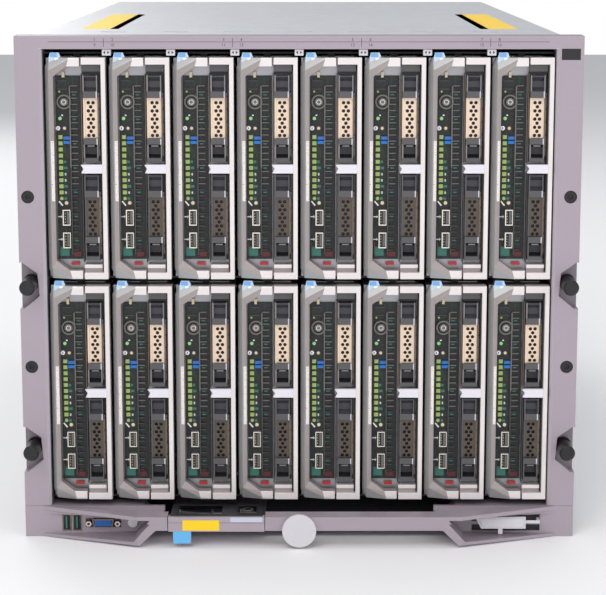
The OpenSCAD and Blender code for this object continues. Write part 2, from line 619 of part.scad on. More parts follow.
// A solid grip that tapers to the rear, behind the plate at x and z, running along Z or along X
module grip_shape(len) polygon([[-len / 2, grip_y], [-len / 2 + 5, rear_y + handle_out],
  [len / 2 - 5, rear_y + handle_out], [len / 2, grip_y]]);
module grip(x, z, len, along_z) translate([x, 0, z]) rotate([0, along_z ? -90 : 0, 0])
  plan_slab(-2, 2) grip_shape(len);
module module_box(x0, w, z0, h, back = 45) {
  difference() {
    box([x0 + body_gap, x0 + w - body_gap], [module_y, rear_y - plate_t + e], [z0 + body_gap, z0 + h - body_gap]);
    box([x0 + body_gap + module_t, x0 + w - body_gap - module_t], [module_y - cut, rear_y - back],
      [z0 + body_gap + module_t, z0 + h - body_gap - module_t]);
  }
  box([x0 + body_gap / 2, x0 + w - body_gap / 2], [rear_y - plate_t, rear_y], [z0, z0 + h]);
}
psu_pitch = 2 * inner_x / 6;
module power_supplies() placed() color([0.55, 0.56, 0.58])
  for (i = [0 : 5]) {
    x0 = -inner_x + i * psu_pitch;
    difference() {
      module_box(x0, psu_pitch, psu_z, psu_h, 24);
      box([x0 + 10, x0 + 38], [rear_y - 18, rear_y + cut], [psu_z + 8, psu_z + 30]);
    }
    for (p = [[18, 24], [30, 24], [24, 14]]) box([x0 + p[0] - 1, x0 + p[0] + 1], [rear_y - 18 - e, rear_y - 6],
      [psu_z + p[1] - 3, psu_z + p[1] + 3]);
    pull(x0 + psu_pitch - 14, psu_z + psu_h / 2, 60);
  }

group_w = fan_w + 3 * iom_w + 4 * module_gap;
function fan_x(c) = -inner_x + module_gap + c * group_w;
function iom_x(i) = fan_x(floor(i / 3)) + fan_w + module_gap + (i % 3) * (iom_w + module_gap);
fan_h = upper_h / 3;
module fan_modules() placed() color([0.40, 0.41, 0.43])
  for (c = [0 : 2], r = [0 : 2]) translate([fan_x(c), 0, upper_z + r * fan_h]) {
    difference() {
      module_box(0, fan_w, 0, fan_h - 1);
      rod_y(fan_w / 2, fan_h / 2 + 6, 27, rear_y - 40, rear_y + cut);
    }
    rod_y(fan_w / 2, fan_h / 2 + 6, 10, rear_y - 40 - e, rear_y - 6);
    box([fan_w / 2 - 27.5, fan_w / 2 + 27.5], [rear_y - 1.4, rear_y], [fan_h / 2 + 4.5, fan_h / 2 + 7.5]);
    box([fan_w / 2 - 1.5, fan_w / 2 + 1.5], [rear_y - 1.4, rear_y], [fan_h / 2 - 21.5, fan_h / 2 + 33.5]);
    grip(fan_w / 2, 8, 44, false);
  }

module io_modules() placed() color([0.48, 0.49, 0.51])
  for (i = [0 : 5]) {
    x0 = iom_x(i);
    difference() {
      module_box(x0, iom_w, upper_z, upper_h, 8);
      for (k = [0 : 7]) box([x0 + 6, x0 + 20], [rear_y - 2.5, rear_y + cut], [upper_z + 60 + k * 19, upper_z + 72 + k * 19]);
    }
    grip(x0 + iom_w / 2, upper_z + 26, 30, true);
    grip(x0 + iom_w / 2, upper_z + upper_h - 26, 30, true);
  }

mgmt_w = 2 * inner_x / 3;
module management_modules() placed() color([0.45, 0.46, 0.48])
  for (i = [0 : 2]) {
    x0 = -inner_x + i * mgmt_w;
    difference() {
      module_box(x0, mgmt_w, mgmt_z, mgmt_h, 8);
      for (k = [0 : 2]) box([x0 + 20 + k * 22, x0 + 36 + k * 22], [rear_y - 2.5, rear_y + cut], [mgmt_z + 9, mgmt_z + 22]);
    }
    grip(x0 + mgmt_w - 26, mgmt_z + mgmt_h / 2, 36, false);
  }

enclosure();
top_cover();
bay_shelves();
midplane();
front_bezel();
slot_tabs();
ear_screws();
thumbscrew(-1, thumb_z + thumb_rise);  // thumbscrew_1
thumbscrew(1, thumb_z + thumb_rise);  // thumbscrew_2
thumbscrew(-1, thumb_z);  // thumbscrew_3
thumbscrew(1, thumb_z);  // thumbscrew_4
front_ports();
chassis_button();
lcd_tray();
lcd_panel();
front_badges();
power_supplies();
fan_modules();
io_modules();
management_modules();
housing_01();
cover_01();
mainboard_01();
frame_01();
io_panel_01();
handle_01();
release_button_01();
power_button_01();
drive_upper_01();
drive_lower_01();
blade(2);  // blade_02
blade(3);  // blade_03
blade(4);  // blade_04
blade(5);  // blade_05
blade(6);  // blade_06
blade(7);  // blade_07
blade(8);  // blade_08
blade(9);  // blade_09
blade(10);  // blade_10
blade(11);  // blade_11
blade(12);  // blade_12
blade(13);  // blade_13
blade(14);  // blade_14
blade(15);  // blade_15
blade(16);  // blade_16
handle(2);  // handle_02
handle(3);  // handle_03
handle(4);  // handle_04
handle(5);  // handle_05
handle(6);  // handle_06
handle(7);  // handle_07
handle(8);  // handle_08
handle(9);  // handle_09
handle(10);  // handle_10
handle(11);  // handle_11
handle(12);  // handle_12
handle(13);  // handle_13
handle(14);  // handle_14
handle(15);  // handle_15
handle(16);  // handle_16
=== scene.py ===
import math

import bmesh
import bpy
from bpy.props import FloatProperty, FloatVectorProperty, IntProperty, PointerProperty
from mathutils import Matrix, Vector


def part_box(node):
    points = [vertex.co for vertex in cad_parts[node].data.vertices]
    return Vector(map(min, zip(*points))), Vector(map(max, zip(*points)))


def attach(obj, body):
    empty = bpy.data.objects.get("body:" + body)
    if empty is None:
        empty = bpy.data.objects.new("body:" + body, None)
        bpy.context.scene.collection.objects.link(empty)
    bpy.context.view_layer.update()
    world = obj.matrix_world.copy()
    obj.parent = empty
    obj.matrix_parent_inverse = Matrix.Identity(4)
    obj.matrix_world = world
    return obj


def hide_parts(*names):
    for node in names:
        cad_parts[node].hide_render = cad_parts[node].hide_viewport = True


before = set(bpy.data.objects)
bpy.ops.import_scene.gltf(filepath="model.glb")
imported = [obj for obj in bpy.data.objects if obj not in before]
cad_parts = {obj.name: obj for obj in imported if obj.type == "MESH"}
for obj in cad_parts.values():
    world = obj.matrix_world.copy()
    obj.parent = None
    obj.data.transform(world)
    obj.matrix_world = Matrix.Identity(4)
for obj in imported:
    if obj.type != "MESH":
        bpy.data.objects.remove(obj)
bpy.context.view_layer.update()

bl_info = {
    "name": "Blade server chassis",
    "version": (1, 0, 0),
    "blender": (4, 5, 0),
    "location": "View3D > Sidebar > Chassis",
    "description": "Dresses a rack chassis with its server blades, bezel, display drawer and rear modules",
    "category": "Object",
}

MM = 0.001
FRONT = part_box("handle_01")[0].y
BLADES = range(1, 17)


def place_mm(node, end, axis):
    """One side of a node's box, in millimetres from blade 1's lower front corner."""
    low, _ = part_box("handle_01")
    return round((getattr(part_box(node)[end], axis) - getattr(low, axis)) / MM, 2)


BLADE_W = place_mm("frame_01", 1, "x")
BLADE_H = place_mm("handle_01", 1, "z")
LEVER_W = place_mm("handle_01", 1, "x")
LEVER_BACK = place_mm("handle_01", 1, "y")
PITCH = place_mm("handle_02", 0, "x")
HOUSING_FRONT = place_mm("housing_01", 0, "y")
HOUSING_BACK = place_mm("housing_01", 1, "y")
PANEL_LEFT = place_mm("io_panel_01", 0, "x")
PANEL_RIGHT = place_mm("io_panel_01", 1, "x")
PANEL_LOW = place_mm("io_panel_01", 0, "z")
PANEL_HIGH = place_mm("io_panel_01", 1, "z")
PANEL_FACE = 10.8
DRIVE_LEFT = place_mm("drive_upper_01", 0, "x")
DRIVE_RIGHT = place_mm("drive_upper_01", 1, "x")
DRIVE_BACK = place_mm("drive_upper_01", 1, "y")
DRIVE_H = round(place_mm("drive_upper_01", 1, "z") - place_mm("drive_upper_01", 0, "z"), 2)
COVER_TOP = round(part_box("top_cover")[1].z / MM, 2)
POWER_X, POWER_Z = 15.6, BLADE_H - 38.3
LAMPS = (  # name, place, size, power, colour
    ("key", (-0.9, -2.3, 2.2), 1.8, 62, (1, 0.98, 0.97)),
    ("fill", (1.8, -1.9, 1.0), 1.6, 26, (0.96, 0.96, 1)),
    ("top", (0.0, 0.2, 2.6), 2.2, 46, (1, 1, 1)),
    ("low", (0.0, -2.4, 0.5), 1.4, 14, (1, 0.97, 1)),
    ("back", (-1.2, 2.4, 1.6), 1.6, 34, (1, 1, 1)),
)
LIT_POINT = Vector((0, 0, 0.22))
FLOOR_REACH = 6


def tag(number):
    return f"{number:02d}"


def blade_origin(number):
    """Left, front and lower corner of a blade's front, taken from its lever."""
    low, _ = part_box("handle_" + tag(number))
    return Vector((low.x, FRONT, low.z))


def raised(node):
    """How high a node of blade 1 lies above the blade's lower edge."""
    return Vector((0, 0, place_mm(node, 0, "z") * MM))


def srgb(*rgb):
    """A colour given as 0 to 255 display values, in linear light."""
    return tuple(v / 12.92 if v <= 0.04045 else ((v + 0.055) / 1.055) ** 2.4 for v in (c / 255 for c in rgb))


def tint(colour, factor):
    return tuple(min(1.0, c * factor) for c in colour)


# ---------------------------------------------------------------- sizes and colours
def colour_prop(name, description, *rgb):
    return FloatVectorProperty(name=name, description=description, default=srgb(*rgb), subtype="COLOR",
                               size=3, min=0, max=1)


class StageSettings(bpy.types.PropertyGroup):
    lens: FloatProperty(name="Lens", description="Focal length of the camera", default=110.0, unit="CAMERA")
    distance: FloatProperty(name="Distance", description="Camera distance from the ears' front face",
                            default=1.57, unit="LENGTH")
    height: FloatProperty(name="Height", description="Camera height above the base",
                          default=0.529, unit="LENGTH")
    aim: FloatProperty(name="Aim height", description="Height the camera looks at",
                       default=0.268, unit="LENGTH")
    across: FloatProperty(name="Across", description="Camera place to the right of the middle",
                          default=0.0033, unit="LENGTH")
    shift: FloatProperty(name="Shift", description="Vertical lens shift", default=-0.1)
    light: FloatProperty(name="Light", description="Strength of all the lamps together", default=0.5)
    sky: FloatProperty(name="Sky", description="Strength of the soft light from all sides", default=0.5)
    floor: colour_prop("Floor", "Colour of the floor", 249, 249, 249)


class FinishSettings(bpy.types.PropertyGroup):
    bezel: colour_prop("Bezel", "Paint of the bezel", 165, 154, 163)
    # painted highlight: the lighter colour of the bezel's inner bevels
    bevel: colour_prop("Bevel", "Bevel along the bezel's inner edges", 196, 190, 196)
    cover: colour_prop("Cover", "Plated top cover", 205, 207, 210)
    body: colour_prop("Body", "Sheet metal of the body", 158, 159, 162)
    silver: colour_prop("Silver", "Front faces of levers and frames", 226, 219, 217)
    # painted shade: darker copies of the silver for the levers' slopes and bevels
    silver_slope: colour_prop("Silver slope", "Inner slopes of the levers", 160, 151, 149)
    silver_bevel: colour_prop("Silver bevel", "Outer bevels of the levers", 172, 173, 172)
    comb: colour_prop("Honeycomb", "Upper carriers' honeycomb", 226, 204, 180)
    comb_dark: colour_prop("Dark honeycomb", "Lower carriers' honeycomb", 88, 78, 70)
    latch: colour_prop("Latch", "Carriers' latches", 52, 52, 58)
    bar: colour_prop("Bars", "Carriers' cross bars", 84, 83, 84)
    port_blue: colour_prop("Blue parts", "Blue parts on the port panels", 0, 104, 190)
    lamp_green: colour_prop("Squares", "Yellow-green squares on the port panels", 158, 182, 92)
    sticker: colour_prop("Stickers", "Stickers on the cover and drawer", 250, 208, 10)
    tab_blue: colour_prop("Pull tab", "Pull tab under the drawer", 98, 181, 234)


class BladeSettings(bpy.types.PropertyGroup):
    hole_pitch: FloatProperty(name="Hole pitch", description="Distance between two honeycomb holes",
                              default=0.00405, unit="LENGTH", precision=5)
    hole_radius: FloatProperty(name="Hole radius", description="Radius of a honeycomb hole", default=0.0016,
                               unit="LENGTH", precision=5)
    squares: IntProperty(name="Squares", description="Yellow-green squares on each port panel", default=11)
    vent_pitch: FloatProperty(name="Vent pitch", description="Distance between two bars of a port panel",
                              default=0.00526, unit="LENGTH", precision=5)


# ---------------------------------------------------------------- shaders
class Value:
    """A shader socket that takes part in Python expressions."""

    def __init__(self, tree, socket):
        self.tree, self.socket = tree, socket

    def _math(self, operation, first, second):
        return self.tree.node("ShaderNodeMath", {"operation": operation}, first, second)

    def __add__(self, other):
        return self._math("ADD", self, other)

    def __radd__(self, other):
        return self._math("ADD", other, self)

    def __sub__(self, other):
        return self._math("SUBTRACT", self, other)

    def __rsub__(self, other):
        return self._math("SUBTRACT", other, self)

    def __mul__(self, other):
        return self._math("MULTIPLY", self, other)

    def __rmul__(self, other):
        return self._math("MULTIPLY", other, self)

    def __gt__(self, other):
        return self._math("GREATER_THAN", self, other)

    def __lt__(self, other):
        return self._math("LESS_THAN", self, other)

    def __mod__(self, other):
        return self._math("FLOORED_MODULO", self, other)

    def __abs__(self):
        return self.tree.node("ShaderNodeMath", {"operation": "ABSOLUTE"}, self)


class Tree:
    """A material's node tree, built from calls and expressions."""

    def __init__(self, name):
        self.material = bpy.data.materials.new(name)
        self.material.use_nodes = True
        self.nodes = self.material.node_tree.nodes
        self.links = self.material.node_tree.links
        self.bsdf = self.nodes["Principled BSDF"]

    def plug(self, socket, value):
        if isinstance(value, Value):
            self.links.new(value.socket, socket)
        elif socket.type == "RGBA" and len(value) == 3:
            socket.default_value = (*value, 1)
        else:
            socket.default_value = value

    def node(self, kind, settings=None, *values, out=0, **named):
        made = self.nodes.new(kind)
        for key, value in (settings or {}).items():
            setattr(made, key, value)
        for socket, value in zip(made.inputs, values):
            self.plug(socket, value)
        for key, value in named.items():
            self.plug(made.inputs[key.replace("_", " ")], value)
        return Value(self, made.outputs[out])

    def mix(self, factor, a, b):
        made = self.nodes.new("ShaderNodeMix")
        made.data_type = "RGBA"
        for place, value in ((0, factor), (6, a), (7, b)):
            self.plug(made.inputs[place], value)
        return Value(self, made.outputs[2])

    def coords(self, kind="Object"):
        return Value(self, self.nodes.new("ShaderNodeTexCoord").outputs[kind])

    def axes(self, kind="Object"):
        made = self.nodes.new("ShaderNodeSeparateXYZ")
        self.links.new(self.coords(kind).socket, made.inputs[0])
        return [Value(self, socket) for socket in made.outputs]

    def stretched(self, stretch):
        if stretch is None:
            return self.coords()
        return self.node("ShaderNodeVectorMath", {"operation": "MULTIPLY"}, self.coords(), stretch)

    def noise(self, scale, detail=4.0, rough=0.55, stretch=None):
        return self.node("ShaderNodeTexNoise", None, Vector=self.stretched(stretch), Scale=scale,
                         Detail=detail, Roughness=rough)

    def cells(self, scale, stretch=None, out="Distance"):
        made = self.nodes.new("ShaderNodeTexVoronoi")
        self.plug(made.inputs["Vector"], self.stretched(stretch))
        self.plug(made.inputs["Scale"], scale)
        return Value(self, made.outputs[out])

    def span(self, value, low, high):
        """0 below low, 1 above high, and a straight slope between them."""
        return self.node("ShaderNodeMapRange", {"clamp": True}, value, low, high, 0.0, 1.0)

    def bump(self, height, strength=0.3, distance=0.0002):
        return self.node("ShaderNodeBump", None, Height=height, Strength=strength, Distance=distance)

    def surface(self, **values):
        for key, value in values.items():
            self.plug(self.bsdf.inputs[key.replace("_", " ")], value)
        return self.material


def moulded(t, base, spread=0.06, scale=900, rough=0.45, metal=0.0, grain=0.15, coat=0.0, wear=0.1):
    """Moulded plastic or paint: faint clouds, fine grain, small scuffs and uneven gloss."""
    clouds, fine = t.noise(9, 3), t.noise(scale, 2)
    scuffs = t.span(t.noise(55, 6, 0.7), 0.6, 0.75) * wear
    colour = t.mix(clouds * 0.7 + fine * 0.3, tint(base, 1 - spread), tint(base, 1 + spread))
    colour = t.mix(scuffs, colour, tint(base, 1.5))
    return t.surface(Base_Color=colour, Roughness=rough - 0.06 + fine * 0.12, Metallic=metal,
                     Coat_Weight=coat, Normal=t.bump(fine, grain, 0.0001))


def brushed(t, base, along=(1, 1, 1), rough=0.32, metal=0.9, spread=0.08):
    """Metal with fine brush lines and faint blotches."""
    lines, clouds = t.noise(1400, 3, 0.6, along), t.noise(14, 3)
    colour = t.mix(lines * 0.5 + clouds * 0.5, tint(base, 1 - spread), tint(base, 1 + spread))
    return t.surface(Base_Color=colour, Roughness=rough - 0.07 + lines * 0.14, Metallic=metal,
                     Normal=t.bump(lines, 0.12, 0.00008))


def cast(t, base, metal=0.3, rough=0.36):
    """Painted die casting: satin, with fine grain, darker clouds and bright worn spots."""
    grain, clouds = t.noise(700, 3), t.noise(28, 4)
    worn = t.span(t.noise(120, 5, 0.7), 0.62, 0.78)
    colour = t.mix(t.span(clouds, 0.35, 0.75) * 0.5, base, tint(base, 0.82))
    colour = t.mix(worn * 0.35, colour, tint(base, 1.25))
    return t.surface(Base_Color=colour, Roughness=rough + grain * 0.12, Metallic=metal,
                     Normal=t.bump(grain, 0.12, 0.00008))


def bezel_paint(t, base, bevel):
    """Satin bezel paint, with a painted highlight as a lighter bevel along the opening and painted shade
    darkening the inside of its pockets.
    """
    x, y, z = t.axes()
    # painted shade: the surface darkens the deeper it lies behind the bezel's front
    painted_pocket_shade = t.span(y, FRONT + 0.003, FRONT + 0.012)
    # painted highlight: a lighter strip along the inner bevels beside the opening
    edge = (abs(x) > 0.2176) * (abs(x) < 0.2203) * (z > 0.028) * (z < 0.4295)
    grain, clouds = t.noise(1100, 3), t.noise(5, 3)
    colour = t.mix(clouds, tint(base, 0.94), tint(base, 1.06))
    colour = t.mix(edge * 0.75, colour, bevel)
    colour = t.mix(grain * 0.1, colour, tint(base, 0.6))
    colour = t.mix(painted_pocket_shade * 0.55, colour, tint(base, 0.3))
    return t.surface(Base_Color=colour, Roughness=0.36 + grain * 0.12, Metallic=0.2,
                     Normal=t.bump(grain, 0.14, 0.00008))


def plated(t, base):
    """Zinc-plated sheet with long rolling streaks and spangle."""
    streak, clouds = t.noise(260, 3, 0.5, (1, 0.06, 1)), t.noise(4, 4)
    spangle = t.cells(90, out="Color")
    colour = t.mix(clouds * 0.6 + streak * 0.4, tint(base, 0.86), tint(base, 1.08))
    colour = t.mix(0.05, colour, spangle)
    return t.surface(Base_Color=colour, Roughness=0.33 + streak * 0.16, Metallic=0.5,
                     Normal=t.bump(streak, 0.06, 0.0001))


def laminate(t, base):
    """Circuit board: dark laminate with traces, pads and small parts."""
    x, y, z = t.axes()
    traces = (t.noise(340, 2, 0.5, (1, 0.15, 1)) > 0.56) * 0.35
    pads = t.cells(620) < 0.18
    colour = t.mix(traces, base, tint(base, 2.4))
    colour = t.mix(pads * 0.7, colour, srgb(168, 158, 110))
    return t.surface(Base_Color=colour, Roughness=0.42 + traces * 0.3,
                     Normal=t.bump(pads + traces, 0.25, 0.0002))


def component_black(t):
    """Black board behind the port panel, with faint green tracks and tiny parts."""
    blocks = t.cells(230, (1, 1, 1.6))
    tracks = t.noise(420, 2, 0.5, (1, 1, 0.25)) > 0.6
    dots = t.cells(520) < 0.14
    colour = t.mix(t.span(blocks, 0.1, 0.6), srgb(5, 5, 6), srgb(26, 28, 29))
    colour = t.mix(tracks * 0.45, colour, srgb(16, 62, 52))
    colour = t.mix(dots * 0.5, colour, srgb(112, 118, 104))
    return t.surface(Base_Color=colour, Roughness=0.42 + blocks * 0.2, Normal=t.bump(blocks, 0.4, 0.0004))


def latch_plastic(t, base):
    """Dark latch, with painted shade over the carrier's height: lighter at its upper end, near black at its lower
    end.
    """
    z = t.axes("Generated")[2]
    grain = t.noise(900, 2)
    # painted shade: dark towards the carrier's bottom, lighter towards its top
    colour = t.mix(t.span(z, 0.1, 0.95), tint(base, 0.25), tint(base, 1.25))
    return t.surface(Base_Color=t.mix(grain * 0.15, colour, tint(base, 0.4)), Roughness=0.34 + grain * 0.14,
                     Normal=t.bump(grain, 0.15, 0.0001))


def glowing(t, base, strength):
    grain = t.noise(900, 2)
    return t.surface(Base_Color=t.mix(grain * 0.3, base, tint(base, 0.7)), Emission_Color=base,
                     Emission_Strength=strength, Roughness=0.3)


def perforated(t, base, scale):
    """Perforated sheet: round holes painted near black in satin metal, painted shade for the dark inside seen
    through them.
    """
    # painted shade: the holes are only painted, near black
    holes = t.cells(scale) < 0.33
    grain = t.noise(900, 2)
    return t.surface(Base_Color=t.mix(holes, base, srgb(8, 8, 9)), Roughness=0.4 + grain * 0.2, Metallic=0.5,
                     Normal=t.bump(1 - holes, 0.5, 0.0004))


def label_strip(t):
    """Bare pale label with faint speckles in rows."""
    specks = t.cells(900, (1, 1, 0.6)) < 0.3
    rows = (t.axes()[2] * 1000 % 2.1) < 1.1
    colour = t.mix(specks * rows * 0.7, srgb(232, 226, 220), srgb(118, 92, 84))
    return t.surface(Base_Color=colour, Roughness=0.5)


RECIPES = {
    "bezel": lambda t, c: bezel_paint(t, c.bezel, c.bevel),
    "drawer": lambda t, c: moulded(t, tint(c.bezel, 1.04), 0.07, 900, 0.36, 0.2, 0.1),
    "drawer_light": lambda t, c: moulded(t, srgb(196, 199, 214), 0.04, 900, 0.34, 0.1),
    "silver": lambda t, c: cast(t, c.silver),
    # painted shade: darker silver for slopes and bevels turned from the light
    "silver_slope": lambda t, c: cast(t, c.silver_slope, 0.25, 0.42),
    "silver_bevel": lambda t, c: cast(t, c.silver_bevel, 0.35, 0.34),
    "tag": lambda t, c: moulded(t, srgb(222, 219, 226), 0.05, 700, 0.42, 0.05),
    "steel": lambda t, c: brushed(t, tint(c.body, 1.05), (1, 0.05, 1), 0.38, 0.75),
    "body": lambda t, c: moulded(t, c.body, 0.06, 800, 0.42, 0.45, 0.1),
    "cover": lambda t, c: plated(t, c.cover),
    "zinc": lambda t, c: plated(t, tint(c.cover, 0.86)),
    "shelf": lambda t, c: moulded(t, srgb(20, 20, 22), 0.2, 700, 0.55),
    "black": lambda t, c: moulded(t, srgb(15, 15, 16), 0.3, 900, 0.38, 0.0, 0.25),
    "black_soft": lambda t, c: moulded(t, srgb(34, 35, 37), 0.2, 900, 0.5, 0.0, 0.2),
    "panel": lambda t, c: component_black(t),
    "rib": lambda t, c: moulded(t, srgb(104, 101, 97), 0.12, 900, 0.4, 0.2),
    "rib_dark": lambda t, c: moulded(t, srgb(64, 63, 61), 0.2, 900, 0.4, 0.2),
    "grey": lambda t, c: moulded(t, srgb(96, 97, 99), 0.08, 900, 0.4, 0.2),
    "bar": lambda t, c: moulded(t, c.bar, 0.1, 900, 0.42, 0.25),
    "pale": lambda t, c: moulded(t, srgb(205, 202, 206), 0.05, 900, 0.4),
    "white": lambda t, c: moulded(t, srgb(236, 236, 236), 0.03, 900, 0.3, 0.0, 0.05, 0.3),
    "comb": lambda t, c: brushed(t, c.comb, (1, 1, 0.3), 0.36, 0.25, 0.12),
    "comb_dark": lambda t, c: brushed(t, c.comb_dark, (1, 1, 0.3), 0.38, 0.5, 0.2),
    "latch": lambda t, c: latch_plastic(t, c.latch),
    "rail": lambda t, c: moulded(t, srgb(122, 121, 124), 0.15, 700, 0.38, 0.4),
    "brown": lambda t, c: moulded(t, srgb(108, 94, 80), 0.18, 260, 0.45, 0.2),
    "board": lambda t, c: laminate(t, srgb(10, 44, 30)),
    "chrome": lambda t, c: brushed(t, srgb(214, 208, 196), (1, 1, 0.2), 0.22, 0.85, 0.06),
    "port_frame": lambda t, c: brushed(t, srgb(142, 128, 114), (1, 1, 0.2), 0.3, 0.7, 0.1),
    "blue": lambda t, c: moulded(t, c.port_blue, 0.1, 800, 0.3),
    "release": lambda t, c: moulded(t, srgb(186, 208, 228), 0.14, 240, 0.14, 0.0, 0.05, 0.6, 0.5),
    "release_blue": lambda t, c: moulded(t, srgb(96, 164, 218), 0.1, 300, 0.16, 0.0, 0.05, 0.6),
    "pull_blue": lambda t, c: moulded(t, c.tab_blue, 0.04, 800, 0.4),
    "red": lambda t, c: moulded(t, srgb(178, 22, 24), 0.15, 700, 0.35),
    "red_dark": lambda t, c: moulded(t, srgb(84, 12, 14), 0.25, 500, 0.4),
    "green": lambda t, c: glowing(t, srgb(128, 196, 116), 0.25),
    "lime": lambda t, c: moulded(t, c.lamp_green, 0.2, 1500, 0.45),
    "teal": lambda t, c: moulded(t, srgb(36, 110, 96), 0.3, 1500, 0.4),
    "cream": lambda t, c: moulded(t, srgb(214, 200, 160), 0.1, 900, 0.35),
    "yellow": lambda t, c: moulded(t, c.sticker, 0.04, 600, 0.42, 0.0, 0.05, 0.0, 0.02),
    "orange": lambda t, c: moulded(t, srgb(228, 116, 44), 0.05, 600, 0.42, 0.0, 0.05),
    "glass": lambda t, c: moulded(t, srgb(12, 13, 16), 0.1, 900, 0.12, 0.0, 0.02, 1.0, 0.02),
    "mesh_black": lambda t, c: perforated(t, srgb(44, 44, 46), 420.0),
    "dimple": lambda t, c: moulded(t, srgb(128, 146, 148), 0.06, 600, 0.4, 0.3),
    "ink": lambda t, c: moulded(t, srgb(66, 58, 64), 0.1, 900, 0.5),
    "strip": lambda t, c: label_strip(t),
    "badge_face": lambda t, c: moulded(t, srgb(52, 52, 54), 0.12, 500, 0.3, 0.3, 0.1, 0.4),
}
MATERIALS = {}


def material(name):
    """Builds a named finish once and returns it."""
    if name not in MATERIALS:
        MATERIALS[name] = RECIPES[name](Tree(name), bpy.context.scene.chassis_finish)
    return MATERIALS[name]


# ---------------------------------------------------------------- meshes
def ring(sides, radius, start=0.0):
    turns = [start + 2 * math.pi * i / sides for i in range(sides)]
    return [(radius * math.cos(a), radius * math.sin(a)) for a in turns]


class Shape:
    """Collects solids in millimetres and turns them into one mesh with several finishes."""

    def __init__(self):
        self.bm = bmesh.new()
        self.names = []

    def _index(self, name):
        if name not in self.names:
            self.names.append(name)
        return self.names.index(name)

    def _finish(self, verts, name, bevel):
        index = self._index(name)
        for face in {f for v in verts for f in v.link_faces}:
            face.material_index = index
        if bevel:
            edges = [e for e in {e for v in verts for e in v.link_edges} if e.calc_face_angle(0) > 0.5]
            made = bmesh.ops.bevel(self.bm, geom=edges, offset=bevel * MM, segments=2, affect="EDGES",
                                   clamp_overlap=True)
            for face in made["faces"]:
                face.material_index = index
        return self

    def box(self, name, x, y, z, bevel=0):
        return self.prism(name, [(x[0], z[0]), (x[1], z[0]), (x[1], z[1]), (x[0], z[1])], y[0], y[1], bevel)

    def prism(self, name, points, low, high, bevel=0, axis="y"):
        """A closed outline pushed along an axis: (x, z) along y, (y, z) along x or (x, y) along z."""
        def place(a, b, w):
            return Vector({"y": (a, w, b), "x": (w, a, b), "z": (a, b, w)}[axis]) * MM
        near, far = [[self.bm.verts.new(place(a, b, w)) for a, b in points] for w in (low, high)]
        self.bm.faces.new(near)
        self.bm.faces.new(far[::-1])
        for i in range(len(points)):
            j = (i + 1) % len(points)
            self.bm.faces.new((near[j], near[i], far[i], far[j]))
        return self._finish(near + far, name, bevel)

    def disc(self, name, x, z, radius, low, high, bevel=0, sides=24, axis="y"):
        return self.prism(name, [(x + a, z + b) for a, b in ring(sides, radius)], low, high, bevel, axis)

    def tube(self, name, x, z, radius, hole, low, high, bevel=0, sides=28):
        """A ring with its hole along y."""
        rows = [[self.bm.verts.new(Vector((x + a, y, z + b)) * MM) for a, b in ring(sides, r)]
                for y, r in ((low, radius), (low, hole), (high, hole), (high, radius))]
        for k in range(4):
            a, b = rows[k], rows[(k + 1) % 4]
            for i in range(sides):
                j = (i + 1) % sides
                self.bm.faces.new((a[i], a[j], b[j], b[i]))
        return self._finish([v for row in rows for v in row], name, bevel)

    def plate(self, name, outline, holes, low, high):
        """A plate across y with through holes."""
        loops, edges = [outline, *holes], []
        rings = []
        for points in loops:
            verts = [self.bm.verts.new(Vector((a, low, b)) * MM) for a, b in points]
            rings.append(verts)
            edges += [self.bm.edges.new((verts[i], verts[(i + 1) % len(verts)])) for i in range(len(verts))]
        bmesh.ops.triangle_fill(self.bm, use_beauty=True, use_dissolve=False, edges=edges)
        front = {f for v in rings[0] + [w for r in rings[1:] for w in r] for f in v.link_faces}
        made = bmesh.ops.extrude_face_region(self.bm, geom=list(front))
        moved = [g for g in made["geom"] if isinstance(g, bmesh.types.BMVert)]
        bmesh.ops.translate(self.bm, verts=moved, vec=Vector((0, high - low, 0)) * MM)
        return self._finish([v for r in rings for v in r] + moved, name, 0)

    def faces(self, name, *polygons):
        """Faces given by their corners, as (x, y, z)."""
        index = self._index(name)
        for points in polygons:
            face = self.bm.faces.new([self.bm.verts.new(Vector(p) * MM) for p in points])
            face.material_index = index
        return self

    def mesh(self, name, weld=False):
        if weld:
            bmesh.ops.remove_doubles(self.bm, verts=self.bm.verts, dist=1e-6)
        mesh = bpy.data.meshes.new(name)
        bmesh.ops.recalc_face_normals(self.bm, faces=self.bm.faces)
        self.bm.to_mesh(mesh)
        self.bm.free()
        for finish in self.names:
            mesh.materials.append(material(finish))
        return mesh


def put(name, mesh, body, origin=(0, 0, 0), replaces=(), round_mm=0):
    piece = bpy.data.objects.new(name, mesh)
    bpy.context.scene.collection.objects.link(piece)
    piece.location = origin
    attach(piece, body)
    if replaces:
        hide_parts(*replaces)
    if round_mm:
        edge = piece.modifiers.new("rounded", "BEVEL")
        edge.width, edge.segments, edge.limit_method = round_mm * MM, 2, "ANGLE"
        edge.angle_limit = math.radians(20)
    return piece


def dress(node, name, bevel=0.0):
    """Gives a CAD node its finish, and rounds its edges if asked."""
    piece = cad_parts[node]
    piece.data.materials.clear()
    piece.data.materials.append(material(name))
    if bevel:
        weld = piece.modifiers.new("weld", "WELD")
        weld.merge_threshold = 1e-5
        flat = piece.modifiers.new("flat", "DECIMATE")
        flat.decimate_type = "DISSOLVE"
        flat.angle_limit = math.radians(0.5)
        edge = piece.modifiers.new("rounded", "BEVEL")
        edge.width, edge.segments, edge.limit_method = bevel * MM, 2, "ANGLE"
        edge.angle_limit = math.radians(25)
    return piece


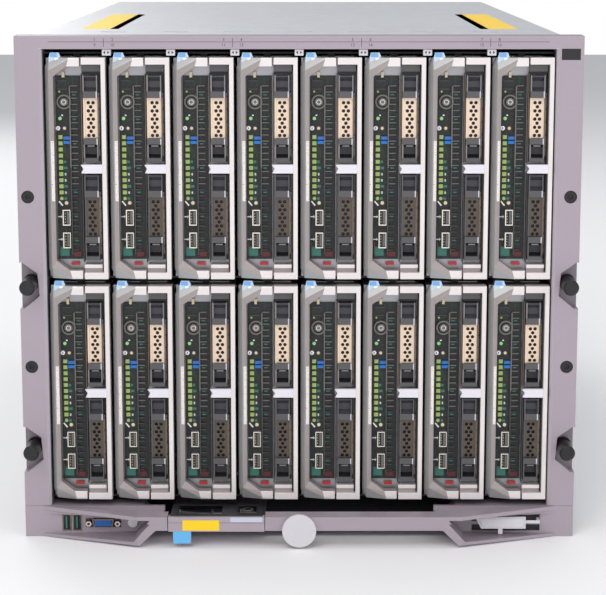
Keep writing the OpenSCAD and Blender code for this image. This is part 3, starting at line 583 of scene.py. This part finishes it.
def digits(text, size, x, y, z):
    """Plain numerals as a thin mesh, centred on x."""
    curve = bpy.data.curves.new("numerals", "FONT")
    curve.body, curve.size, curve.align_x, curve.extrude = text, size * MM, "CENTER", 0.00006
    holder = bpy.data.objects.new("numerals", curve)
    mesh = bpy.data.meshes.new_from_object(holder)
    bpy.data.objects.remove(holder)
    for vert in mesh.vertices:
        a, b, c = vert.co
        vert.co = Vector((a + x * MM, y * MM - c, b + z * MM))
    mesh.materials.clear()
    mesh.materials.append(material("ink"))
    return mesh


# ---------------------------------------------------------------- blade meshes
def lever_mesh():
    """The lever: a bracket with an outer bevel, a ridge and an inner slope. Its bevels and slopes take darker
    copies of the silver, painted shade for faces turned from the light.
    """
    h, w, back, low = BLADE_H, LEVER_W, LEVER_BACK, 1.8
    outer = [(w, 0.7, h), (20.8, 0.7, h), (3.4, 6, h), (0, 7, h - 8.2)]
    ridge = [(w, 0, h - 0.7), (20.8, 0, h - 1.6), (3.9, 0, h - 10.6), (3.9, 0, h - 10.6)]
    inner = [(w, 0, h - 7.6), (19.1, 0.2, h - 7.6), (7.6, low, h - 16.2), (7.6, low, h - 16.2)]
    outer, ridge, inner = [line + [(x, y, h - z) for x, y, z in line[::-1]] for line in (outer, ridge, inner)]
    outer_back, inner_back = [[(x, back, z) for x, _, z in line] for line in (outer, inner)]
    s = Shape()
    for i in range(len(outer) - 1):
        bar, j = i in (0, len(outer) - 2), i + 1
        strips = [("silver" if bar else "silver_bevel", (outer[i], outer[j], ridge[j], ridge[i])),
                  ("silver" if bar else "silver_slope", (ridge[i], ridge[j], inner[j], inner[i])),
                  ("silver_slope", (inner[i], inner[j], inner_back[j], inner_back[i])),
                  ("silver_bevel", (outer[j], outer[i], outer_back[i], outer_back[j])),
                  ("silver_slope", (outer_back[i], inner_back[i], inner_back[j], outer_back[j]))]
        for name, points in strips:
            points = [p for k, p in enumerate(points) if p not in points[:k]]
            if len(points) > 2:
                s.faces(name, points)
    for k in (0, len(outer) - 1):
        s.faces("silver", (outer[k], ridge[k], inner[k], inner_back[k], outer_back[k]))
    return s.mesh("lever", weld=True)


def strip_mesh():
    """The speckled label on a lever's inner slope."""
    s = Shape()
    s.faces("strip", ((4.7, 0.28, BLADE_H - 123), (7.3, 1.6, BLADE_H - 123), (7.3, 1.6, BLADE_H - 71),
                      (4.7, 0.28, BLADE_H - 71)))
    s.box("black", (7.3, 7.65), (1.8, 3.2), (BLADE_H - 104, BLADE_H - 101))
    return s.mesh("lever_strip")


def release_mesh():
    s = Shape()
    outline = [(4.2, 185.8), (13.4, 185.8), (14.2, 190.6), (12.6, 194.88), (5.2, 194.88), (4.2, 190.6)]
    s.prism("release", outline, 3.4, 8.2, 0.7)
    s.box("release_blue", (5.4, 11.2), (2.9, 4.2), (191.2, 194.4), 0.4)
    # painted highlight: a small white patch on the button's face
    s.box("white", (9, 12.4), (2.7, 3.6), (188.6, 190.6), 0.2)
    return s.mesh("release")


def frame_mesh():
    """The fixed frame on the right of a blade, with its ledge and cross tag."""
    s, h, w = Shape(), BLADE_H, BLADE_W
    left, stile = 31.5, 48.2
    outline = [(left, h), (left, h - 5.9), (stile, h - 5.9), (stile, 5.7), (left, 5.7), (left, 0), (w, 0), (w, h)]
    s.prism("silver", outline[::-1], 0, 12)
    s.box("bar", (31.5, 48.3), (5, 12), (h - 12.2, h - 5.8), 0.3)
    s.box("black_soft", (31.5, 48.3), (7.5, 12), (h - 14.6, h - 12))
    s.box("silver", (31.5, 46.8), (2.6, 12), (9.2, 12.4), 0.8)
    # painted shade: the frame's lower slope takes the darker silver
    s.box("silver_slope", (31.5, 46.8), (4.2, 12), (5.6, 9.3), 0.5)
    s.box("black", (46.8, 48.3), (5, 12), (5.6, h - 5.8))
    outline = [(29.7, 99.2), (32.2, 96), (30.2, 92.2), (33, 91.9), (w, 91.9), (w, 99.5), (33, 99.5)]
    s.prism("tag", outline, 0.25, 3.2)
    s.box("tag", (32.5, w - 0.2), (3, 5.6), (92.1, 99.3))
    s.box("rib_dark", (30.6, 31.4), (3.5, 12), (14, 92))
    s.box("brown", (30.6, 31.4), (4.2, 12), (99.8, h - 14))
    s.disc("rib", 25, 4, 1.1, 30, 34, 0, 10)
    return s.mesh("blade_frame")


def port_mesh():
    """The black port panel beside the lever's opening."""
    h, c = BLADE_H, bpy.context.scene.chassis_blade
    s = Shape()
    s.box("panel", (PANEL_LEFT, PANEL_RIGHT), (10.6, 12), (PANEL_LOW, PANEL_HIGH))
    s.box("rib", (20.2, 21.2), (7.4, 11), (96, 166), 0.2)
    s.box("rib_dark", (20.2, 21.2), (8, 11), (20, 96), 0.2)
    pitch = c.vent_pitch / MM
    for i in range(int((h - 40) / pitch)):
        z = h - 24.2 - i * pitch
        finish, right = ("rib", 27.2) if z > 80 else ("rib_dark", 26.2)
        s.box(finish, (21, right), (8.6, PANEL_FACE), (z - 0.8, z), 0.15)
        if i % 4 == 1:
            s.box("teal", (22.4, 25.6), (10.1, 10.7), (z - 3.4, z - 2.2))
    bars = ((9.6, 9.8, h - 20, 8.8, 1), (9.6, 9.8, h - 27, 8.8, 0.9), (18.6, 9, h - 31, 0.9, 12))
    for x, y, z, dx, dz in bars:
        s.box("rib_dark", (x, x + dx), (y, PANEL_FACE), (z - dz, z))
    s.box("cream", (14.2, 16.4), (8.8, PANEL_FACE), (h - 17.4, h - 12.6), 0.4)
    s.disc("lime", 11.6, h - 29.6, 0.9, 10, 10.8, 0, 12)
    s.tube("rib", POWER_X, POWER_Z, 6.3, 5.0, 8.2, PANEL_FACE, 0.3)
    s.disc("black_soft", POWER_X, POWER_Z, 5.0, 10, PANEL_FACE)
    s.disc("green", 11.8, h - 52.6, 1.5, 9.8, 10.8, 0.3, 14)
    s.box("white", (12.9, 14.3), (10.2, PANEL_FACE), (h - 50.4, h - 49.4))
    s.disc("white", 9.9, h - 61, 1.9, 10.1, 10.8, 0, 18)
    s.box("black", (9.6, 10.2), (10.0, 10.2), (h - 62, h - 60.2))
    s.tube("rib_dark", 15.5, h - 61, 2.2, 1.5, 9.6, PANEL_FACE)
    s.disc("cream", 15.5, h - 61, 1.3, 9.7, 10.8, 0.2, 14)
    for i in range(c.squares):
        z = h - 67 - i * 5.32
        round_one = i == c.squares - 1
        if round_one:
            s.disc("lime", 11.9, z - 1.6, 1.5, 9.9, 10.8, 0.2, 14)
        else:
            s.box("lime", (10.1, 13.6), (9.9, PANEL_FACE), (z - 3.3, z), 0.25)
        if i > 3:
            s.box("teal", (14.2, 15.4 + (i % 3)), (10.1, PANEL_FACE), (z - 2.8, z - 0.6))
        if i in (6, 7, 9):
            s.box("pale", (15.2, 16.2), (9.7, PANEL_FACE), (z - 2.8, z - 0.8), 0.2)
    for z in (h - 70.6, h - 74.4):
        s.box("blue", (14.6, 20), (8.4, PANEL_FACE), (z, z + 2.6), 0.3)
    s.prism("white", [(9, h - 124.6), (9.8, h - 123.8), (13, h - 127.6), (12.2, h - 128.4)], 10.1, PANEL_FACE)
    s.disc("cream", 16, h - 125.6, 1.5, 9.4, 10.8, 0.3, 14)
    s.tube("rib_dark", 16, h - 125.6, 2.3, 1.8, 10, PANEL_FACE)
    for z in (26.2, 46):
        top = z + 13.7
        for x, zz in (((12.9, 13.8), (z, top)), ((18.9, 19.5), (z, top)), ((13.7, 19), (z, z + 0.9)),
                      ((13.7, 19), (top - 0.9, top))):
            s.box("chrome", x, (5.8, 10.6), zz, 0.12)
        s.box("black", (13.8, 18.9), (9.2, 10.6), (z + 0.8, top - 0.8))
        s.box("grey", (16.4, 18.5), (6.4, 10), (z + 1.6, top - 1.6), 0.2)
        for k in range(4):
            s.box("cream", (14.6, 15.2), (7.6, 9.3), (z + 2.4 + k * 2.4, z + 3.3 + k * 2.4))
        s.prism("white", [(8.4, z + 6.7), (11.2, z + 6.7), (11.2, z + 5.8), (12.4, z + 7.1), (11.2, z + 8.4),
                          (11.2, z + 7.5), (8.4, z + 7.5)], 10.1, PANEL_FACE)
    s.box("red", (19.2, 26.4), (8.2, PANEL_FACE), (h - 179.6, h - 177.2), 0.3)
    s.box("red_dark", (21.4, 28), (9.2, PANEL_FACE), (h - 172.4, h - 168), 0.3)
    s.box("teal", (9.6, 17.6), (10, PANEL_FACE), (h - 172, h - 164))
    s.box("rib_dark", (9, 9.9), (8.6, PANEL_FACE), (h - 170, h - 160), 0.2)
    return s.mesh("blade_ports")


def carrier_mesh(name, comb, dark):
    """A drive carrier: latches, bars and a honeycomb plate between two rails."""
    c = bpy.context.scene.chassis_blade
    s, x0, x1, h = Shape(), DRIVE_LEFT, DRIVE_RIGHT, DRIVE_H
    s.box("zinc", (x0, x1), (11.9, DRIVE_BACK), (0, h), 0.3)
    # painted shade: a black sheet behind the honeycomb stands for the dark hollow seen through its holes
    s.box("black", (x0, x1), (9.2, 12), (0, h))
    upper = [(3.4, h - 0.6), (9.2, h - 0.6), (9.2, h - 13.9), (3.2, h - 13.9), (7.4, h - 10.4), (7.6, h - 5)]
    s.prism("latch", upper, x0 + 1.3, x1 - 2.4, 0.15, "x")
    s.box("latch", (x0 + 1.3, x1 - 2.4), (3, 9.2), (h - 1.4, h - 0.2), 0.2)
    for x in ((x0, x0 + 1.2), (x1 - 2.4, x1 - 1.4)):
        s.box("bar" if dark else "rail", x, (3.2, 9.2), (h - 14, h), 0.2)
        s.box("bar" if dark else "rail", x, (3.2, 9.2), (0.4, 15.4), 0.2)
    for z in ((h - 19.3, h - 13.7), (15.4, 20.6)):
        s.box("bar", (x0, x1 - 2), (3, 9.2), z, 0.35)
        s.box("drawer_light", (x1 - 2.8, x1 - 1.8), (2.9, 9), z, 0.2)
    lower = [(3.2, 0.2), (9.2, 0.2), (9.2, 15.4), (4.6, 15.4), (8.1, 12.8), (8.2, 6.6), (3.2, 4.2)]
    s.prism("latch", lower, x0 + 1.2, x1 - 2.4, 0.15, "x")
    s.box("rail", (x0 + 3.4, x1 - 4.6), (3.8, 5.2), (13.6, 14.6), 0.2)
    s.box("bar", (x0 + 0.2, x1 - 1.6), (3, 9), (0.2, 3.6), 0.3)
    s.box("brown", (x1 - 1.8, x1), (5.4, 11.9), (5.5, h - 15), 0.2)
    for k in range(5):
        s.box("black", (x1 - 0.7, x1 + 0.05), (5.2, 6.4), (12 + k * 11, 13.4 + k * 11))
    s.box("bar" if dark else "comb", (x0, x0 + 1.5), (5.4, 9.2), (20.6, h - 19.3))
    pitch, radius = c.hole_pitch / MM, c.hole_radius / MM
    low, high, left, right = 20.8, h - 19.2, x0 + 1.4, x1 - 1.8
    holes, row, z = [], 0, low + 0.5 + radius
    while z + radius < high - 0.4:
        x = left + 1.4 + radius + (row % 2) * pitch / 2
        while x + radius < right - 0.2:
            holes.append([(x + a, z + b) for a, b in ring(8, radius, math.pi / 8)])
            x += pitch
        z += pitch * 0.866
        row += 1
    s.plate(comb, [(left, low), (right, low), (right, high), (left, high)], holes, 6.2, 7.2)
    return s.mesh(name)


def housing_mesh():
    """A blade's sheet-metal housing, with pressed ribs, vents, screws, a cover seam and a rear connector."""
    s = Shape()
    lo, hi, y0, y1 = 0.6, BLADE_W - 0.6, HOUSING_FRONT, HOUSING_BACK
    s.box("steel", (lo + 0.5, hi - 0.5), (y0, y1), (0.9, 189.9), 0.5)
    s.box("zinc", (hi - 0.9, hi), (y0 + 26, y1 - 6), (1.6, 189.2), 0.25)
    s.box("steel", (hi - 0.9, hi), (y0, y0 + 24.6), (0.9, 189.9), 0.25)
    s.box("steel", (lo, lo + 0.8), (y0, y1), (0.9, 189.9), 0.25)
    for z in (24, 95, 166):
        s.box("steel", (hi - 0.2, hi + 0.25), (y0 + 60, y1 - 60), (z - 3, z + 3), 0.2)
    for row in range(4):
        for k in range(18):
            y, z = y0 + 300 + k * 9, 45 + row * 9 + (k % 2) * 4.5
            s.box("black", (hi - 0.1, hi + 0.06), (y, y + 5.4), (z, z + 3), 0)
            s.box("black", (lo - 0.06, lo + 0.1), (y, y + 5.4), (z, z + 3), 0)
    for y in (y0 + 36, y0 + 250, y1 - 18):
        for z in (9, 182):
            s.disc("chrome", y, z, 2.6, hi - 0.1, hi + 0.4, 0, 14, "x")
            s.box("black", (hi + 0.3, hi + 0.45), (y - 1.6, y + 1.6), (z - 0.3, z + 0.3))
    latch = [(y0 + 40, 88), (y0 + 62, 88), (y0 + 62, 104), (y0 + 40, 104)]
    s.prism("release_blue", latch, hi - 0.2, hi + 0.4, 0.15, "x")
    s.box("white", (hi - 0.1, hi + 0.12), (y0 + 90, y0 + 190), (112, 152))
    for z in ((0.35, 1), (189.8, 190.45)):
        s.box("zinc", (6, 46), (y0 + 14, y1 - 4), z, 0.15)
        s.box("black", (12, 40), (y0 + 40, y0 + 46), (z[0] - 0.02, z[1] + 0.02))
    s.box("black", (7, 15), (536.8, 543.1), (20, 90), 0.4)
    s.box("mesh_black", (18, 47), (536.8, 537.4), (16, 176))
    s.box("chrome", (17, 18), (536.8, 539), (10, 180), 0.2)
    return s.mesh("blade_housing")


def power_cap_mesh():
    s = Shape()
    s.disc("rib", POWER_X, POWER_Z, 3.4, 7.6, 10.2, 0.5)
    s.tube("silver", POWER_X, POWER_Z, 2.1, 1.6, 7.3, 8)
    return s.mesh("power_cap")


# ---------------------------------------------------------------- operators
class STAGE_OT_build(bpy.types.Operator):
    """Makes the floor, the lights and the camera"""
    bl_idname = "chassis.stage"
    bl_label = "Stage"

    def execute(self, context):
        scene, setup = context.scene, context.scene.chassis_stage
        scene.view_settings.view_transform = "Standard"
        mesh = bpy.data.meshes.new("floor")
        corners = [(FLOOR_REACH * a, FLOOR_REACH * b, 0) for a, b in ((-1, -1), (1, -1), (1, 1), (-1, 1))]
        mesh.from_pydata(corners, [], [(0, 1, 2, 3)])
        floor = bpy.data.objects.new("floor", mesh)
        tree = Tree("floor")
        grain = tree.noise(30, 2)
        mesh.materials.append(tree.surface(Base_Color=tree.mix(grain, tint(setup.floor, 0.99), setup.floor),
                                           Roughness=0.9))
        scene.collection.objects.link(floor)
        self.world(scene, setup)
        for name, place, size, power, colour in LAMPS:
            lamp = bpy.data.lights.new(name, "AREA")
            lamp.size, lamp.energy, lamp.color = size, power * setup.light, colour
            light = bpy.data.objects.new(name, lamp)
            light.location = place
            light.rotation_euler = (LIT_POINT - Vector(place)).to_track_quat("-Z", "Y").to_euler()
            scene.collection.objects.link(light)
        camera = bpy.data.objects.new("camera", bpy.data.cameras.new("camera"))
        camera.data.lens, camera.data.sensor_width = setup.lens, 36
        camera.data.shift_y, camera.data.clip_end = setup.shift, 50
        camera.location = (setup.across, FRONT - setup.distance, setup.height)
        target = Vector((setup.across, FRONT, setup.aim))
        camera.rotation_euler = (target - camera.location).to_track_quat("-Z", "Y").to_euler()
        scene.collection.objects.link(camera)
        scene.camera = camera
        return {"FINISHED"}

    def world(self, scene, setup):
        world = scene.world or bpy.data.worlds.new("world")
        scene.world = world
        world.use_nodes = True
        nodes, links = world.node_tree.nodes, world.node_tree.links
        nodes.clear()
        path, see = nodes.new("ShaderNodeLightPath"), nodes.new("ShaderNodeMath")
        see.operation = "MAXIMUM"
        links.new(path.outputs["Is Camera Ray"], see.inputs[0])
        links.new(path.outputs["Is Transmission Ray"], see.inputs[1])
        soft, white = nodes.new("ShaderNodeBackground"), nodes.new("ShaderNodeBackground")
        soft.inputs["Color"].default_value = (0.94, 0.95, 1.0, 1)
        soft.inputs["Strength"].default_value = setup.sky
        white.inputs["Color"].default_value = (1, 1, 1, 1)
        mix, out = nodes.new("ShaderNodeMixShader"), nodes.new("ShaderNodeOutputWorld")
        links.new(see.outputs[0], mix.inputs[0])
        links.new(soft.outputs[0], mix.inputs[1])
        links.new(white.outputs[0], mix.inputs[2])
        links.new(mix.outputs[0], out.inputs["Surface"])


class BLADES_OT_build(bpy.types.Operator):
    """Dresses the sixteen blades with their levers, port panels and drive carriers"""
    bl_idname = "chassis.blades"
    bl_label = "Blades"

    def execute(self, context):
        lever, strip, release = lever_mesh(), strip_mesh(), release_mesh()
        frames, ports, housing, cap = frame_mesh(), port_mesh(), housing_mesh(), power_cap_mesh()
        upper = carrier_mesh("carrier_upper", "comb", False)
        lower = carrier_mesh("carrier_lower", "comb_dark", True)
        for n in BLADES:
            t, o, first = tag(n), blade_origin(n), n == 1
            blade, handle = "blade_" + t, "handle_" + t
            put("lever_" + t, lever, handle, o, (handle,), 0.35)
            put("lever_strip_" + t, strip, handle, o)
            put("release_" + t, release, "release_button_01" if first else handle, o,
                ("release_button_01",) if first else ())
            put("blade_frame_" + t, frames, blade, o,
                ("frame_01",) if first else (blade,), 0.3)
            put("blade_ports_" + t, ports, blade, o, ("io_panel_01",) if first else ())
            put("blade_housing_" + t, housing, blade, o,
                ("housing_01", "cover_01") if first else ())
            put("power_cap_" + t, cap, "power_button_01" if first else blade, o,
                ("power_button_01",) if first else ())
            for level, mesh, slot in (("upper", upper, "carrier_light"), ("lower", lower, "carrier_dark")):
                drive = f"drive_{level}_01"
                put(f"carrier_{level}_{t}", mesh, drive if first else blade, o + raised(drive),
                    (drive,) if first else ())
        dress("mainboard_01", "board")
        return {"FINISHED"}


class FRONT_OT_build(bpy.types.Operator):
    """Dresses the bezel, its ports, screws, badge, plates and printed marks"""
    bl_idname = "chassis.front"
    bl_label = "Front"

    def execute(self, context):
        dress("front_bezel", "bezel", 0.6)
        dress("slot_tabs", "pale", 0.3)
        dress("ear_screws", "black", 0.3)
        for i in range(1, 5):
            dress(f"thumbscrew_{i}", "black")
        dress("front_ports", "port_frame")
        dress("chassis_button", "white", 0.6)
        dress("front_badges", "pale", 0.3)
        at = Vector((0, FRONT, 0))
        s = Shape()
        s.box("ink", (-212.4, 211.4), (-0.08, 0.3), (434.8, 435.15))
        ticks, aside, upper, lower = (-165.4, -56.3, 52.8, 161.9), 7.5, 435.7, 431.2
        for k, x in enumerate(ticks):
            s.box("ink", (x - 0.2, x + 0.2), (-0.08, 0.3), (430.6, 438.2))
            for number, dx, z in ((2 * k + 1, -aside, upper), (2 * k + 2, aside, upper),
                                  (2 * k + 9, -aside, lower), (2 * k + 10, aside, lower)):
                put(f"slot_number_{number:02d}", digits(str(number), 3.6, x + dx, -0.02, z), "chassis", at)
        s.box("black", (222.3, 238.3), (-0.12, 0.3), (419.7, 429.2), 0.05)
        for k in range(-3, 4):
            x = k * PITCH
            for side in (-1, 1):
                s.prism("black", [(x + side * 2.6, 426), (x + side * 0.9, 427.3), (x + side * 0.9, 424.7)],
                        1.35, 1.7)
        put("bezel_marks", s.mesh("bezel_marks"), "chassis", at)
        s = Shape()
        centre, ring_hole, sides = 16.4, 12.6, 64
        s.tube("chrome", 0, centre, 14.7, ring_hole, -36.2, -35.2, 0.4, sides)
        s.tube("badge_face", 0, centre, ring_hole, 12.1, -35.9, -35.3, 0, sides)
        s.disc("badge_face", 0, centre, 12.2, -36.0, -35.3, 0.3, sides)
        put("badge", s.mesh("badge"), "chassis", at + Vector((0, 0.0008, 0)))
        s = Shape()
        s.box("blue", (-180.1, -165.3), (-2.4, -1.2), (9.9, 15.3), 0.4)
        for row, count in ((14.1, 5), (12.6, 5), (11.1, 5)):
            for k in range(count):
                shifted = 0.8 if row == 12.6 else 0
                s.disc("ink", -178 + k * 2.5 + shifted, row, 0.45, -2.55, -2.3, 0, 8)
        for x in (-185.4, -160):
            s.tube("chrome", x, 12.6, 2.6, 1.4, -4.3, -3.6, 0.2, 6)
        for x in (-208.6, -199.4):
            s.box("black", (x + 0.8, x + 6.8), (0.6, 1.4), (6.3, 19.5))
            s.box("teal", (x + 2.6, x + 4.2), (-0.3, 1), (7.4, 18.4), 0.2)
        put("port_details", s.mesh("port_details"), "chassis", at)
        s = Shape()
        s.prism("pale", [(157.6, 19.4), (161.2, 12.1), (196.8, 12.1), (196.8, 19.4)], -10.9, -10.1, 0.2)
        put("name_plate_face", s.mesh("name_plate_face"), "chassis", at)
        s = Shape()
        # painted shade: black blocks fill the slots in the lower pockets, standing for the dark inside them
        for z in ((5.4, 10.8), (14.2, 20.4)):
            s.box("black", (152.3, 211.7), (2, 14), z)
        s.box("mesh_black", (-117, -30.6), (5, 6), (4, 14))
        put("pocket_slot_shade", s.mesh("pocket_slot_shade"), "chassis", at)
        return {"FINISHED"}


class DRAWER_OT_build(bpy.types.Operator):
    """Dresses the display drawer with its glass, keypad, label and pull tab"""
    bl_idname = "chassis.drawer"
    bl_label = "Display drawer"

    def execute(self, context):
        dress("lcd_tray", "drawer", 0.3)
        dress("lcd_panel", "black_soft", 0.3)
        at = Vector((0, FRONT, 0))
        s = Shape()
        s.box("yellow", (-100.9, -69.2), (-32.12, -31.6), (15.9, 25))
        s.box("drawer_light", (-59.6, -31.8), (-32.15, -31.2), (23.4, 27.7), 0.15)
        s.box("ink", (-113.2, -30.2), (-32.04, -31.8), (22.6, 22.9))
        s.prism("pull_blue", [(-109.2, 15.4), (-108.7, 4.1), (-94.3, 4.1), (-93.5, 15.4)], -31.8, -30.2, 0.4)
        put("drawer_front", s.mesh("drawer_front"), "lcd_tray", at)
        s = Shape()
        s.box("glass", (-105, -67.4), (-21, 1.2), (26.9, 27.6), 0.1)
        s.box("glass", (-53, -37.4), (-18.6, -0.4), (27.2, 27.7), 0.1)
        s.box("chrome", (-53, -37.4), (-19.8, -18.7), (27.3, 27.78), 0.15)
        s.disc("chrome", -45, -9, 4.6, 27.5, 27.78, 0.1, 24, "z")
        s.disc("black", -45, -9, 3.4, 27.6, 27.8, 0, 24, "z")
        s.disc("black", -62, -22.5, 0.9, 27.5, 27.82, 0, 12, "z")
        put("drawer_glass", s.mesh("drawer_glass"), "lcd_panel", at)
        return {"FINISHED"}


class BODY_OT_build(bpy.types.Operator):
    """Dresses the enclosure, its cover, shelves and stickers"""
    bl_idname = "chassis.body"
    bl_label = "Body"

    def execute(self, context):
        dress("enclosure", "body")
        dress("top_cover", "cover")
        dress("bay_shelves", "shelf")
        dress("midplane", "board")
        at = Vector((0, FRONT, 0))
        s = Shape()
        for side in (-1, 1):
            x = sorted((side * 163.5, side * 197.5))
            s.box("yellow", x, (109, 401), (COVER_TOP - 0.1, COVER_TOP))
            inner = sorted((side * 163.5, side * 171))
            s.box("orange", inner, (109, 401), (COVER_TOP - 0.05, COVER_TOP))
        radius = 3.8
        for k in range(-3, 4):
            x = k * PITCH
            oval = []
            for side in (-1, 1):
                turns = [-side * math.pi / 2 + math.pi * i / 8 for i in range(9)]
                oval += [(x + side * 8 + radius * math.cos(a), 63 + radius * math.sin(a)) for a in turns]
            s.prism("dimple", oval, COVER_TOP - 0.8, COVER_TOP - 0.55, 0, "z")
        put("cover_stickers", s.mesh("cover_stickers"), "chassis", at)
        return {"FINISHED"}


class REAR_OT_build(bpy.types.Operator):
    """Dresses the power supplies, fans, switches and management modules"""
    bl_idname = "chassis.rear"
    bl_label = "Rear modules"

    def execute(self, context):
        dress("power_supplies", "steel")
        dress("fan_modules", "black_soft")
        dress("io_modules", "steel")
        dress("management_modules", "steel")
        return {"FINISHED"}


OPERATORS = (STAGE_OT_build, BODY_OT_build, REAR_OT_build, FRONT_OT_build, DRAWER_OT_build, BLADES_OT_build)
GROUPS = (("chassis_stage", StageSettings), ("chassis_finish", FinishSettings),
          ("chassis_blade", BladeSettings))


class CHASSIS_PT_panel(bpy.types.Panel):
    """Lists the chassis's sizes, its colours and its build steps"""
    bl_idname = "CHASSIS_PT_panel"
    bl_label = "Chassis"
    bl_space_type = "VIEW_3D"
    bl_region_type = "UI"
    bl_category = "Chassis"

    def draw(self, context):
        for name, group in GROUPS:
            for prop in group.__annotations__:
                self.layout.prop(getattr(context.scene, name), prop)
        for operator in OPERATORS:
            self.layout.operator(operator.bl_idname)


CLASSES = (*(group for _, group in GROUPS), *OPERATORS, CHASSIS_PT_panel)


def register():
    for cls in CLASSES:
        bpy.utils.register_class(cls)
    for name, group in GROUPS:
        setattr(bpy.types.Scene, name, PointerProperty(type=group))


def unregister():
    for name, _ in GROUPS:
        delattr(bpy.types.Scene, name)
    for cls in reversed(CLASSES):
        bpy.utils.unregister_class(cls)


def main():
    register()
    for operator in OPERATORS:
        group, name = operator.bl_idname.split(".")
        getattr(getattr(bpy.ops, group), name)()


if __name__ == "__main__":
    main()
